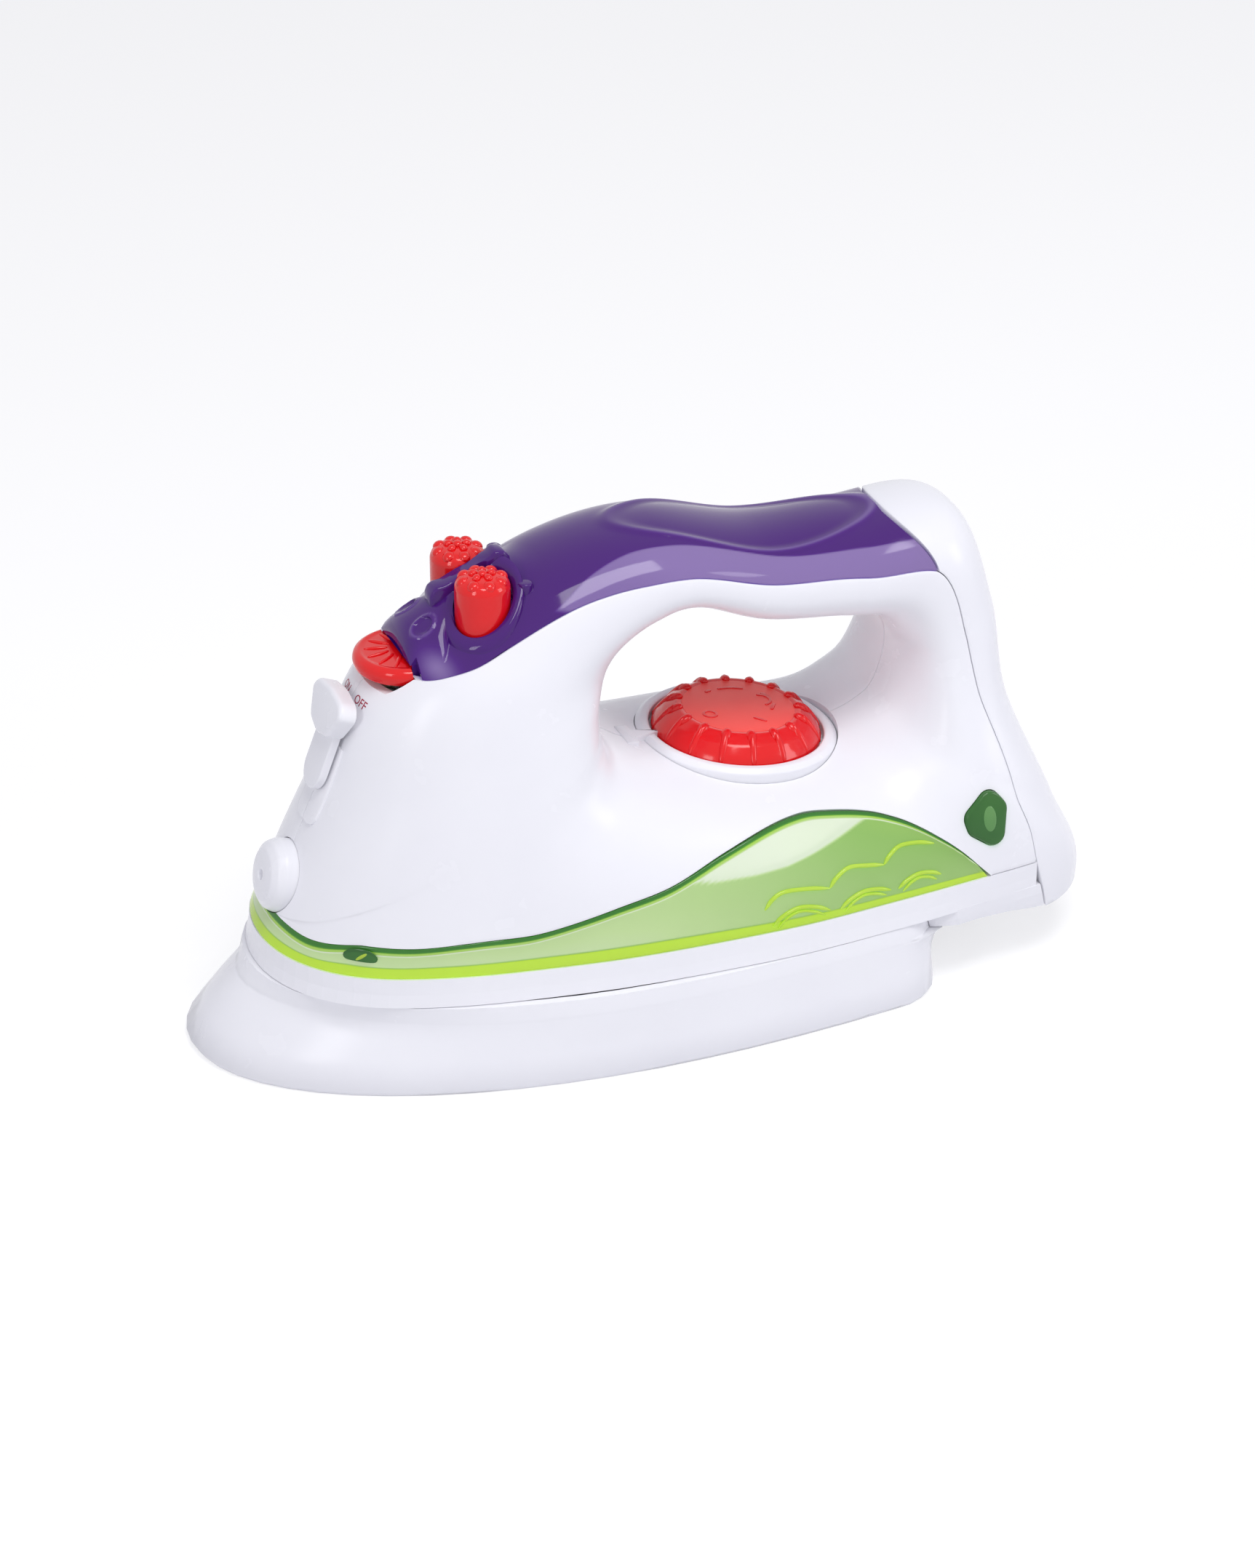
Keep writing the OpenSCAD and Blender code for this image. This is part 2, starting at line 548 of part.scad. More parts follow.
// Collars round the buttons with sloping rims, and the ridge between them
module collars() {
    r = collar_r;
    for (s = [-1, 1]) translate([button_x, s * button_y, button_deck + collar_rise]) intersection() {
        translate([0, 0, -collar_h - 6]) cylinder(r1 = r + collar_draft, r2 = r - collar_draft,
            h = 2 * collar_h + 12);
        rotate([-s * collar_out, -collar_front, 0]) translate([-2 * r, -2 * r, -collar_h])
            cube([4 * r, 4 * r, collar_h]);
        translate([-2 * r, -2 * r, -guide_drop - collar_rise]) cube([4 * r, 4 * r, 4 * collar_h]);
    }
}
module ridge() {
    translate([button_x, ridge_w / 2, button_deck]) rotate([90, 0, 0]) linear_extrude(ridge_w)
        polygon(ridge_side);
    for (s = [-1, 1]) translate([button_x + lug_at[0], s * (button_y + 2), button_deck + lug_at[1] - 5])
        cylinder(d = lug_d, h = 5);
}
module handle_cover() {
    us = concat([cover_front + 0.02, 6.34, 6.42], spread(6.48, 6.8, 8), spread(6.88, 7.5, 7),
        spread(7.7, cover_rear_side - 0.02, 14));
    middles = [for (u = us) cover_front + 0.02 + (cover_rear_top - 0.02 - cover_front) * (u
        - us[0]) / (cover_rear_side - 0.04 - cover_front)];
    color(violet) difference() {
        union() {
            skin_arch([for (u = us) [u, angle_of(trim_at(cover_edge, u) + share_of(u, seam))]], middles,
                20, 0, clear_wall, true);
            button_guides(false);
            collars();
            ridge();
        }
        translate([0, 0, -10]) button_guides(true);
        disc_pocket(button_gap);
        intersection() {
            disc_pocket(button_gap + disc_rear * sin(disc_tilt));
            translate([trunnion_x, -50, 0]) cube([50, 100, 200]);
        }
        translate([hood_front - 60, -50, 0]) cube([60, 100, 200]);
    }
}

module tank_window() {
    nose = station_at(part_z + seam, 3, 4);
    n = 26;
    ends = [window_rear + 0.04, window_front];
    us = [for (i = [0 : n]) ends[1] - (ends[1] - ends[0]) * pow(1 - i / n, 1.7)];
    lows = [for (u = us) ends[0] + (nose - ends[0]) * (u - ends[0]) / (ends[1] - ends[0])];
    upper = [for (u = us) [u, angle_of(trim_at(window_edge, u) + share_of(u, seam))]];
    lower = [for (u = lows) [u, angle_of(cut_share(u, part_z + seam))]];
    function mirrored(e) = concat([for (p = e) p], [for (i = [len(e) - 2 : -1 : 0])
        [e[i][0], 360 - e[i][1]]]);
    color(lime) difference() {
        skin_strip(mirrored(upper), mirrored(lower), 4, 0, clear_wall);
        at_nozzle() cylinder(d = nozzle_d + 2 * seam, h = 40, center = true);
        translate([-150, -60, 0]) cube([300, 120, part_z + seam / 2]);
    }
}

module lens_left() {
    color(lime) lens();
}
module lens_right() {
    color(lime) mirror([0, 1, 0]) lens();
}

// Half outline of the body at the parting plane, from the nose to the rear seam
base_nose = station_at(part_z, 3, 4);
function base_outline(grow_nose, grow_side, inset) = [for (t = spread(0, 1, 30))
    let (u = base_nose - (base_nose - seam_low + turns) * pow(t, 2.3),
    p = skin(u, angle_of(cut_share(u, part_z)), inset))
    [p.x < 5 ? 5 + (p.x - 5) * grow_nose : p.x,
        -p.y * (1 + (grow_side - 1) * min(1, max(0, (88 - p.x) / 34)))]];
// Half outline of the sole: blunt nose, slow taper and round rear corners
function sole_outline(nose, half_w, rear, corner, prow) = concat(
    [for (a = spread(0, 90, 15)) let (q = 0.97 + (prow - 0.97) * pow(cos(a), 2))
        [nose * pow(cos(a), q), half_w * pow(sin(a), q)]],
    [for (x = spread(10, rear - corner, 3)) [x, half_w - 5 * pow(x / sole_rear, 2)]],
    [for (a = spread(75, 0, 4)) [rear - corner + corner * cos(a),
        half_w - 5 * pow((rear - corner) / sole_rear, 2) - corner + corner * sin(a)]]);
sole_nose = -iron_length / 2;

module base_housing() {
    color(white) difference() {
        union() {
            difference() {
                stack([[crease_z, base_outline(1.012, 1.025, 0)],
                    [crease_z + 3, base_outline(1.004, 1.012, 0)],
                    [part_z, base_outline(1, 1, 0)]]);
                stack([[floor_top, base_outline(1.02, 1.02, wall)],
                    [part_z + 1, base_outline(1, 1, wall)]]);
            }
            heel();
            for (x = [-1, 1], y = [-1, 1]) translate([pcb_x + x * (pcb.x / 2 - 4), y * (pcb.y / 2 - 4),
                floor_top - 0.5])
                cylinder(d = 5, h = pcb_z - floor_top + 0.5);
            translate([speaker_x, 0, floor_top - 0.5]) difference() {
                cylinder(d = speaker_d + 4, h = 3.5);
                translate([0, 0, -1]) cylinder(d = speaker_d + 0.6, h = 6);
            }
            for (s = sole_screw_spots) translate([s.x, s.y, floor_top - 0.5]) cylinder(d = 6.5, h = 4);
        }
        for (x = [-1, 1], y = [-1, 1]) translate([pcb_x + x * (pcb.x / 2 - 4), y * (pcb.y / 2 - 4),
            pcb_z - 3])
            cylinder(d = screw_d - 0.4, h = 6);
        for (s = sole_screw_spots) translate([s.x, s.y, crease_z - 1])
            cylinder(d = screw_d + 0.1, h = 10);
    }
}
// Heel under the rear of the body: its sides are flush with the base, its core fills the rear cover, and
// its underside sweeps in a hollow curve to the back of the sole
function seam_point(z) = let (top = skin(seam_low, angle_of(0.6), 0),
    low = skin(seam_foot, angle_of(0.698), 0),
    k = (part_z - z) / (top.z - low.z)) top + (low - top) * k;
function station_for(phi, z, inset, low, high, n = 20) = let (m = (low + high) / 2) n == 0 ? m :
    skin(m, phi, inset).z > z ? station_for(phi, z, inset, m, high, n - 1) : station_for(phi, z, inset,
        low, m, n - 1);
sole_corner = 13;
heel_front = sole_rear - 6;
heel_levels = [[heel_z - 3, 0.975], [heel_z + 1, 0.99], [heel_z + 3.5, 0.998], [crease_z + 0.6, 1]];
module heel_sides() {
    rim = base_outline(1.012, 1.025, 0);
    function side(z, k) = let (rear = seam_point(z).x - 0.3)
        concat([[heel_front - 1, 0], [heel_front, 39 * k],
        [heel_front + 4, k * (lookup(heel_front + 4, rim) - 2)]],
        [for (x = spread(heel_front + 9, rear, 3)) [x, k * lookup(x, rim)]]);
    stack([for (l = heel_levels) [l[0], side(l[0], l[1])]]);
}
module heel_core() {
    inner = wall + 2 * seam;
    function core(z) = concat([[heel_front + 11, 0], [heel_front + 12, 36]],
        [for (phi = spread(122, 176, 6))
        let (p = skin(station_for(phi, z, inner, 15, 17.5), phi, inner)) [p.x, -p.y]]);
    stack([for (l = heel_levels) [l[0], core(l[0])]]);
}
module heel() {
    difference() {
        intersection() {
            union() {
                heel_sides();
                heel_core();
            }
            translate([0, 60, 0]) rotate([90, 0, 0]) linear_extrude(120)
                polygon([[heel_front, crease_z + 0.5],
                [115, crease_z + 0.5], [115, heel_z - 0.6], [97, heel_z - 0.5], [87, heel_z - 0.2],
                    [80, heel_z + 0.9],
                [sole_rear + 10, heel_z + 1.6], [heel_front, heel_z + 1.6]]);
        }
        sole_shell(-seam, -1, crease_z, false);
    }
}

// Sole as a stack of outlines: height, how far the nose and the sides draw in, and the rear's overhang.
// Its back flares out in a hollow curve to meet the heel.
function sole_rows(z0, z1, flared) = concat([[z0, 1, 0.9, -0.6, 0.97], [z0 + 1.5, 0, 0, 0, 0.97],
    [8, 4.4, 0.9, -0.4, 1.06]],
    flared ? [[heel_z - 3, 7.6, 1.4, 0.2, 1.12], [heel_z - 1.2, 9.4, 1.6, 1.3, 1.12],
        [heel_z, 10.8, 1.75, 3.2, 1.1],
        [heel_z + 0.9, 11.8, 1.85, 6.4, 1.08], [heel_z + 1.3, 12.2, 1.9, 9.4, 1.07],
        [heel_z + 1.36, 12.2, 1.9, -0.4, 1.07]] : [],
    [[heel_z + 2, 12.8, 2, -0.4, 1.05], [z1, 14.4, 2.8, -0.4, 0.95]]);
module sole_shell(inset, z0, z1, flared) {
    w = sole_width / 2 - inset;
    n = sole_nose + inset * 1.2;
    stack([for (r = sole_rows(z0, z1, flared))
        [r[0], sole_outline(n + r[1], w - r[2], sole_rear - inset + r[3], sole_corner - inset
            + max(0, r[3]), r[4])]]);
}
module sole_plate() {
    color(white) difference() {
        union() {
            difference() {
                sole_shell(0, 0, crease_z - seam, true);
                sole_shell(wall, sole_floor, crease_z + 2, false);
            }
            translate([box_x[0] - box_wall, -box_half - box_wall, 0.5])
                cube([box_x[1] - box_x[0] + 2 * box_wall, 2 * (box_half + box_wall), crease_z - seam
                    - 1]);
            for (s = sole_screw_spots) translate([s.x, s.y, 1])
                cylinder(d = 8.5, h = crease_z - seam - 1.2);
        }
        translate([box_x[0], -box_half, sole_floor])
            cube([box_x[1] - box_x[0], 2 * box_half, crease_z - 2 * box_wall - sole_floor]);
        translate([box_x[0] + 2, -box_half + 2, -1])
            cube([box_x[1] - box_x[0] - 4, 2 * box_half - 4, 10]);
        door_blank(seam, -1);
        for (s = sole_screw_spots) translate([s.x, s.y, -1]) {
            cylinder(d = screw_d + 0.4, h = 30);
            cylinder(d = screw_head_d + 1, h = crease_z - 5.5);
        }
        // small notch under the rear of the rim
        for (m = [0, 1]) mirror([0, m, 0]) translate([41, -sole_width / 2 - 2, -1]) cube([2.4, 5, 2]);
    }
}
module door_blank(grow, z) {
    translate([box_x[0] - grow, -box_half - grow, z])
        cube([box_x[1] - box_x[0] + 2 * grow, 2 * (box_half + grow), 1.4 - z]);
}
module battery_door() {
    color(white) difference() {
        union() {
            door_blank(-0.1, 0);
            translate([box_x[1] - 8.5, 0, 0.5]) cylinder(d = 7, h = 3);
            for (y = [-9, 9]) translate([box_x[0] + 2.4, y - 3, 1]) cube([2.4, 6, 1.8]);
        }
        translate([box_x[1] - 8.5, 0, -1]) cylinder(d = screw_d + 0.4, h = 8);
        translate([box_x[1] - 8.5, 0, -1]) cylinder(d = screw_head_d + 0.6, h = 3);
    }
}
module battery_door_screw() {
    color(steel) translate([box_x[1] - 8.5, 0, 1.9]) rotate([180, 0, 0]) screw(3.5);
}
module batteries() {
    color([0.2, 0.3, 0.5]) for (s = [-1, 1]) translate([box_x[0] + contact_room, s * (cell_d / 2 + 0.4),
        cell_z])
        rotate([0, 90, 0]) {
            cylinder(d = cell_d, h = cell_len - 1);
            translate([0, 0, cell_len - 1.01]) cylinder(d = 5.4, h = 1);
        }
}
module battery_springs() {
    color(steel) for (s = [-1, 1]) translate([box_x[0] + 0.3, s * (cell_d / 2 + 0.4), cell_z])
        rotate([0, 90, 0]) coil(7, 0.8, contact_room - 0.5, 3);
}
module battery_plates() {
    color(steel) for (s = [-1, 1]) translate([box_x[1] - contact_room + 0.2, s * (cell_d / 2 + 0.4) - 5,
        cell_z - 5])
        cube([contact_room - 0.4, 10, 10]);
}

module circuit_board() {
    color(board_green) difference() {
        union() {
            translate([pcb_x - pcb.x / 2, -pcb.y / 2, pcb_z]) cube(pcb);
            translate([pcb_x + 6, -4, pcb_z + pcb.z - 0.1]) cube([9, 8, 2.2]);
            translate([pcb_x - 6, 3, pcb_z + pcb.z - 0.1]) cylinder(d = 5, h = 8);
        }
        for (x = [-1, 1], y = [-1, 1]) translate([pcb_x + x * (pcb.x / 2 - 4), y * (pcb.y / 2 - 4),
            pcb_z - 1])
            cylinder(d = screw_d + 0.3, h = 6);
    }
}
module board_screws() {
    color(steel) for (x = [-1, 1], y = [-1, 1])
        translate([pcb_x + x * (pcb.x / 2 - 4), y * (pcb.y / 2 - 4), pcb_z + pcb.z + 0.05])
            screw(4, screw_d - 0.5);
}
module lamp() {
    color([0.9, 0.95, 0.9]) translate([pcb_x - 16, 0, pcb_z + pcb.z + 0.05]) {
        cylinder(d = 5.6, h = 1);
        cylinder(d = 5, h = 6);
        translate([0, 0, 6]) sphere(d = 5);
    }
}
module speaker() {
    color([0.25, 0.25, 0.27]) translate([speaker_x, 0, floor_top + 0.05]) {
        cylinder(d = speaker_d, h = 2.5);
        translate([0, 0, 2.4]) cylinder(d1 = speaker_d - 3, d2 = 15, h = 3.2);
        translate([0, 0, 5.5]) cylinder(d = 13, h = 3.5);
    }
}

// Push button: lumpy crown, body in its guide, flange that stops it under the guide
module push_button(side) {
    foot = guide_foot - 0.3 - flange_h;
    color(red) translate([button_x, side * button_y, 0]) union() {
        translate([0, 0, foot]) cylinder(d = button_d + 2 * guide_wall, h = flange_h);
        translate([0, 0, foot + 0.5]) rotate_extrude()
            polygon([[0, 0], [button_d / 2, 0], [button_d / 2, button_top - foot - 4],
            [button_d / 2 - 0.6, button_top - foot - 2.6], [button_d / 2 - 2, button_top - foot - 1.7],
                [0, button_top - foot - 1.2]]);
        for (a = [0 : 60 : 300]) rotate(a) translate([button_d / 2 - 2.8, 0, button_top - 1.9])
            sphere(d = 2.6, $fn = 24);
        translate([0, 0, button_top - 1.8]) sphere(d = 3.4, $fn = 24);
        translate([0, 0, board_z + board_t + tact_h + button_travel + 0.4])
            cylinder(d = 4, h = foot - board_z - board_t - tact_h - button_travel);
    }
}
module button_left() {
    push_button(-1);
}
module button_right() {
    push_button(1);
}
module button_spring(side) {
    color(steel) translate([button_x, side * button_y, board_z + board_t + 0.1])
        coil(11, 0.7, guide_foot - 0.5 - flange_h - board_z - board_t, 4);
}
module button_spring_left() {
    button_spring(-1);
}
module button_spring_right() {
    button_spring(1);
}
module button_board() {
    color(board_green) difference() {
        union() {
            translate([button_x - 7, -board_hole_y - 2.4, board_z])
                cube([22, 2 * board_hole_y + 4.8, board_t - 0.05]);
            for (s = [-1, 1]) translate([button_x - 3, s * button_y - 3, board_z + board_t - 0.1])
                cube([6, 6, tact_h]);
        }
        for (s = [-1, 1]) translate([button_x, s * board_hole_y, board_z - 1])
            cylinder(d = screw_d, h = 4);
    }
}
module button_board_screws() {
    color(steel) for (s = [-1, 1]) translate([button_x, s * board_hole_y, board_z + board_t])
        screw(4, screw_d - 0.7);
}

module front_button() {
    color(red) difference() {
        union() {
            intersection() {
                translate([disc_x, 0, disc_z]) rotate_extrude($fn = 72)
                    polygon([[0, 0], [disc_d / 2 - 1.4, 0], [disc_d / 2 - 0.4, 0.7],
                [disc_d / 2, disc_h / 2], [disc_d / 2 - 0.4, disc_h - 1],
                    [disc_d / 2 - 1.6, disc_h - 0.2], [disc_d / 2 - 2.6, disc_h - 0.5], [0, disc_h]]);
                translate([disc_x, 0, disc_z - 1]) linear_extrude(disc_h + 2) disc_plan(0);
            }
            translate([trunnion_x - 3, -5, trunnion_z]) cube([5.2, 10, disc_z - trunnion_z + 0.5]);
            translate([trunnion_x, -5, trunnion_z]) rotate([-90, 0, 0]) cylinder(d = 6, h = 10);
            translate([trunnion_x, -trunnion_len / 2, trunnion_z]) rotate([-90, 0, 0])
                cylinder(d = trunnion_d, h = trunnion_len);
        }
    }
}
module front_button_spring() {
    color(steel) translate([disc_spring_x, 0, shelf_z + 0.2]) coil(5, 0.6, disc_z - shelf_z - 0.5, 5);
}

// Lever: pivot pin, arm along the nose and a shield-shaped knob
module switch_lever() {
    color(white) on_nose(lever_base) {
        translate([0, 0, -6]) cylinder(d = lever_pin_d, h = lever_lift + 6.5);
        translate([0, 0, lever_lift]) linear_extrude(lever_t) union() {
            circle(d = 10);
            translate([-5, 0]) square([10, lever_reach]);
        }
        translate([0, lever_reach - 2, lever_lift]) linear_extrude(4.2)
            polygon([[-5.5, -3.5], [0, -5], [5.5, -3.5], [knob_w / 2, 3], [knob_w / 2 - 2, 5.5], [0, 6.5],
                [2 - knob_w / 2, 5.5], [-knob_w / 2, 3]]);
    }
}
module lever_screw() {
    color(steel) on_nose(lever_base) translate([0, 0, -6.1]) rotate([180, 0, 0]) {
        cylinder(d = lever_pin_d + 4, h = 0.8);
        translate([0, 0, 0.75]) cylinder(d = 4, h = 1.6);
    }
}

module spray_nozzle() {
    color(white) at_nozzle() difference() {
        rotate_extrude() polygon([[0, -8], [nozzle_d / 2, -8], [nozzle_d / 2, nozzle_out - 3.5],
            [nozzle_d / 2 - 0.8, nozzle_out - 1.6],
            [nozzle_d / 2 - 2.6, nozzle_out - 0.4], [nozzle_d / 2 - 5, nozzle_out], [0, nozzle_out]]);
        translate([0, 0, nozzle_out - 1.5]) cylinder(d = 2.4, h = 3);
    }
}

// Arrow on the ring that the dial is read against
module pointer_outline() {
    translate([-ring_d / 2 - 5.5, 0]) polygon([[0, -4.5], [3, -4.5], [3, -2.2], [9.5, 0], [3, 2.2],
        [3, 4.5], [0, 4.5]]);
}
module dial_ring() {
    color(white) on_deck() difference() {
        union() {
            translate([0, 0, -ledge_drop + 0.05]) cylinder(d = ring_d, h = ring_h - 1);
            translate([0, 0, ring_rise - 1]) cylinder(d1 = ring_d, d2 = ring_d - 2.4, h = 1);
            translate([0, 0, -ledge_drop - ledge_h - 3]) cylinder(d = dial_shaft_d + 8, h = ledge_h + 4);
            translate([0, 0, pointer_z]) linear_extrude(2.2) pointer_outline();
        }
        translate([0, 0, -20]) cylinder(r = dial_shaft_d / 2 + run_gap, h = 40);
        translate([0, 0, dial_foot - dial_lift]) cylinder(d = dial_d + 1.2, h = 10);
    }
}
module dial() {
    color(red) on_deck() {
        lift = dial_foot;
        difference() {
            translate([0, 0, lift]) rotate_extrude($fn = 96)
                polygon([[0, 0], [dial_d / 2, 0], [dial_d / 2, 1.6], [dial_d / 2 - 0.9, dial_h * 0.45],
                [dial_d / 2 - 2.6, dial_h * 0.75], [dial_top_d / 2 + 0.8, dial_h - 0.8],
                    [dial_top_d / 2 - 0.6, dial_h], [0, dial_h - 0.3]]);
            translate([0, 0, -20]) cylinder(d = screw_d - 0.4, h = 20);
        }
        difference() {
            translate([0, 0, -ledge_drop - ledge_h - 3.3])
                cylinder(d = dial_shaft_d, h = lift + ledge_drop + ledge_h + 3.5);
            translate([0, 0, -20]) cylinder(d = screw_d - 0.4, h = 20);
        }
        for (i = [0 : dial_ribs - 1]) rotate((i + 0.5) * 360 / dial_ribs)
            translate([dial_top_d / 2 - 0.4, 0, lift + dial_h - 0.9]) {
                sphere(r = dial_rib_r, $fn = 24);
                rotate([0, rib_lean, 0]) translate([0, 0, -dial_h * 0.62]) cylinder(r = dial_rib_r * 0.75,
                    h = dial_h * 0.62, $fn = 24);
            }
    }
}
module dial_washer() {
    color(steel) on_deck() translate([0, 0, -ledge_drop - ledge_h - 3.4 - washer_h]) difference() {
        cylinder(d = washer_d, h = washer_h);
        translate([0, 0, -1]) cylinder(d = screw_d + 0.2, h = 4);
    }
}
module dial_screw() {
    color(steel) on_deck() translate([0, 0, -ledge_drop - ledge_h - 3.45 - washer_h]) rotate([180, 0, 0])
        screw(8, screw_d - 0.5);
}
module sole_screws() {
    color(steel) for (s = sole_screw_spots) translate([s.x, s.y, crease_z - 6.6]) rotate([180, 0, 0])
        screw(9, screw_d);
}

body_left();
body_right();
rear_cover();
handle_cover();
tank_window();
lens_left();
lens_right();
base_housing();
sole_plate();
battery_door();
battery_door_screw();
batteries();
battery_springs();
battery_plates();
circuit_board();
board_screws();
lamp();
speaker();
button_left();
button_right();
button_spring_left();
button_spring_right();
button_board();
button_board_screws();
front_button();
front_button_spring();
switch_lever();
lever_screw();
spray_nozzle();
dial();
dial_ring();
dial_washer();
dial_screw();
body_screws();
sole_screws();
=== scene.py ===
"""Toy steam iron: white moulded shells, violet and lime see-through covers, red buttons and dial.

Lengths are in millimetres and become metres when a mesh is made. Nose at -X, rear at +X, near side at -Y.
"""
import math

import bmesh
import bpy
import numpy as np
from mathutils import Matrix, Vector
from mathutils.bvhtree import BVHTree


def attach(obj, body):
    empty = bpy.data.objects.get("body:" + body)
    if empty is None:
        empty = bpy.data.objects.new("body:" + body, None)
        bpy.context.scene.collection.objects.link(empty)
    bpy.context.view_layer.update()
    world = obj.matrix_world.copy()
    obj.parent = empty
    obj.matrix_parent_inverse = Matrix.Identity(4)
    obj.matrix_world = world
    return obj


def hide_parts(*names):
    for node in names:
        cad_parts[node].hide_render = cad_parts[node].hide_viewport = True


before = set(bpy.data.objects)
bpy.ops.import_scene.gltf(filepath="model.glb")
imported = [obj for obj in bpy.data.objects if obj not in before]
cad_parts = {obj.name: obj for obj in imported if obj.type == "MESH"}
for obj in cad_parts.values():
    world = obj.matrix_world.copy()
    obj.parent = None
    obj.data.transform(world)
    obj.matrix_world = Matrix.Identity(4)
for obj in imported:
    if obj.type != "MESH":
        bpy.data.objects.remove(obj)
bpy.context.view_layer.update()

MM = 0.001
BODY = "iron"
# Rounding of the shells' rims
RIM = 0.28

# Sizes shared with the part's source
WALL = 2.2
CLEAR_WALL = 1.8
SEAM = 0.2
PART_Z = 27.2
HEEL_Z = 15.0
BUTTON_X = -38.3
BUTTON_Y = 8.0
BUTTON_D = 12.6
BUTTON_DECK = 104.628
BUTTON_GAP = 0.35
DISC_X = -54.0
DISC_Z = 88.4443
DISC_D = 24.0
DISC_H = 4.6
DISC_SLIM = 19.0
DISC_REAR = 6.9
DISC_DROP = 1.34
PIVOT_X, PIVOT_Z = -49.0, 85.8443
HOOD_FRONT = -56.6
HOOD_RISE = 4.2
COLLAR_SEAT = 10.05
DIAL_FOOT = -0.8
DIAL_RIBS = 16
RING_D = 47.5
NOZZLE_D = 17.0
LEVER_LIFT = 1.0
SCREW_SPOTS = ((4.3, 0.55), (6.85, 0.4), (12, 0.35), (14.5, 0.31), (2.5, 0.31))

# Stations round the grip opening: opening (x, z), outside (x, z), half width, where widest,
# roundness towards the opening and towards the outside
STATIONS = np.array([
    [25, 55.6, 15, -30, 45, 0.4, 2.9, 2.2],
    [3, 58, -45, -30, 43.6, 0.4, 2.75, 2.2],
    [-8, 63.5, -88, -22, 39.6, 0.39, 2.75, 2.2],
    [-11.5, 69, -99.5, 3, 35.4, 0.39, 2.8, 2.1],
    [-12, 74, -88.7, 34, 32.2, 0.39, 2.7, 2.1],
    [-11, 80, -76.2, 61, 28.8, 0.4, 2.5, 2.1],
    [-8, 86, -65, 86, 25, 0.42, 2.3, 2.1],
    [-3, 91, -48, 99, 22.5, 0.42, 2.2, 2.1],
    [4, 94, -22, 112, 20.5, 0.42, 2.2, 2.1],
    [12, 94.7, 4, 115.5, 19.5, 0.42, 2.2, 2.1],
    [28, 88, 31, 109.6, 18.5, 0.42, 2.2, 2.1],
    [47, 85.2, 54, 108.6, 19, 0.42, 2.2, 2.1],
    [58.5, 83, 78, 107.2, 20, 0.42, 2.4, 2.3],
    [63.7, 77, 87, 86, 22, 0.45, 2.8, 2.4],
    [64.2, 70, 90, 62, 26.5, 0.48, 2.9, 2.5],
    [61.5, 61.5, 101.5, 34, 34, 0.52, 2.9, 2.6],
    [57, 57.6, 108.5, 13, 38.5, 0.53, 2.9, 2.6],
    [50, 55.2, 98, -20, 41.5, 0.48, 2.9, 2.5],
    [40, 54.4, 62, -30, 43.5, 0.42, 2.9, 2.3]])
TURNS = len(STATIONS)
WINDOW_EDGE = np.array([
    [-2.32, 0.43], [-2.25, 0.31], [-2.1, 0.22], [-1.85, 0.15], [-1.5, 0.105], [-1.1, 0.08], [-0.6, 0.066],
    [-0.2, 0.064], [0.2, 0.08], [0.6, 0.12], [1, 0.18], [1.5, 0.24], [2.15, 0.34], [2.7, 0.44], [3.2, 0.58],
    [3.65, 0.77], [3.85, 0.92], [4, 1]])
COVER_EDGE = np.array([
    [6.2, 0.998], [6.3, 0.972], [6.36, 0.9], [6.47, 0.85], [6.7, 0.79], [7.06, 0.76], [7.68, 0.71],
    [8.1, 0.66], [8.66, 0.595], [9.54, 0.58], [10.54, 0.595], [11.27, 0.565], [11.9, 0.575]])
REAR_EDGE = np.array([
    [11.9, 0.575], [12.5, 0.51], [13.2, 0.465], [13.8, 0.49], [14.4, 0.525], [15, 0.52], [15.4, 0.515],
    [15.8, 0.545], [16.18, 0.6], [16.48, 0.698]])
FLANGE_EDGE = np.array([
    [6.9, 0.82], [7.63, 0.77], [8.25, 0.84], [8.77, 0.88], [9.1, 0.88], [9.92, 0.85], [10.57, 0.82],
    [11.6, 0.82]])
WINDOW_REAR, WINDOW_FRONT = -2.32, 4.0
COVER_FRONT, COVER_REAR = 6.2, 11.9
SEAM_LOW = 16.18


def station(u):
    """Smooth row of the stations at a place u round the loop."""
    u = np.asarray(u, float)
    i = np.floor(u).astype(int)
    t = (u - i)[..., None]
    a, b, c, d = (STATIONS[(i + k) % TURNS] for k in (-1, 0, 1, 2))
    return (2 * b + (c - a) * t + (2 * a - 5 * b + 4 * c - d) * t ** 2
            + (3 * b - a - 3 * c + d) * t ** 3) / 2


def skin(u, phi, inset=0.0):
    """Point of the skin: phi runs from the opening (0) over the left side to the outside (180) and back."""
    x0, z0, x1, z1, wide, at, inner, outer = np.moveaxis(station(u), -1, 0)
    phi = np.radians(np.asarray(phi, float))
    v = (1 - np.cos(phi)) / 2
    near = v < at
    q = np.where(near, 1 - v / at, (v - at) / (1 - at))
    n = np.where(near, inner, outer)
    y = (wide - inset) * np.maximum(0, 1 - np.clip(q, 0, 1) ** n) ** (1 / n)
    k = v + inset * (1 - 2 * v) / np.hypot(x1 - x0, z1 - z0)
    return np.stack([x0 + (x1 - x0) * k, np.where(np.sin(phi) < 0, y, -y), z0 + (z1 - z0) * k], -1)


def angle_of(v):
    return np.degrees(np.arccos(1 - 2 * np.clip(v, 0, 1)))


def cut_share(u, z):
    """Share of the way to the outside at which the skin reaches a height."""
    z0, z1 = np.moveaxis(station(u), -1, 0)[[1, 3]]
    return np.where(z1 < z, (z0 - z) / np.where(z1 < z, z0 - z1, 1), 1)


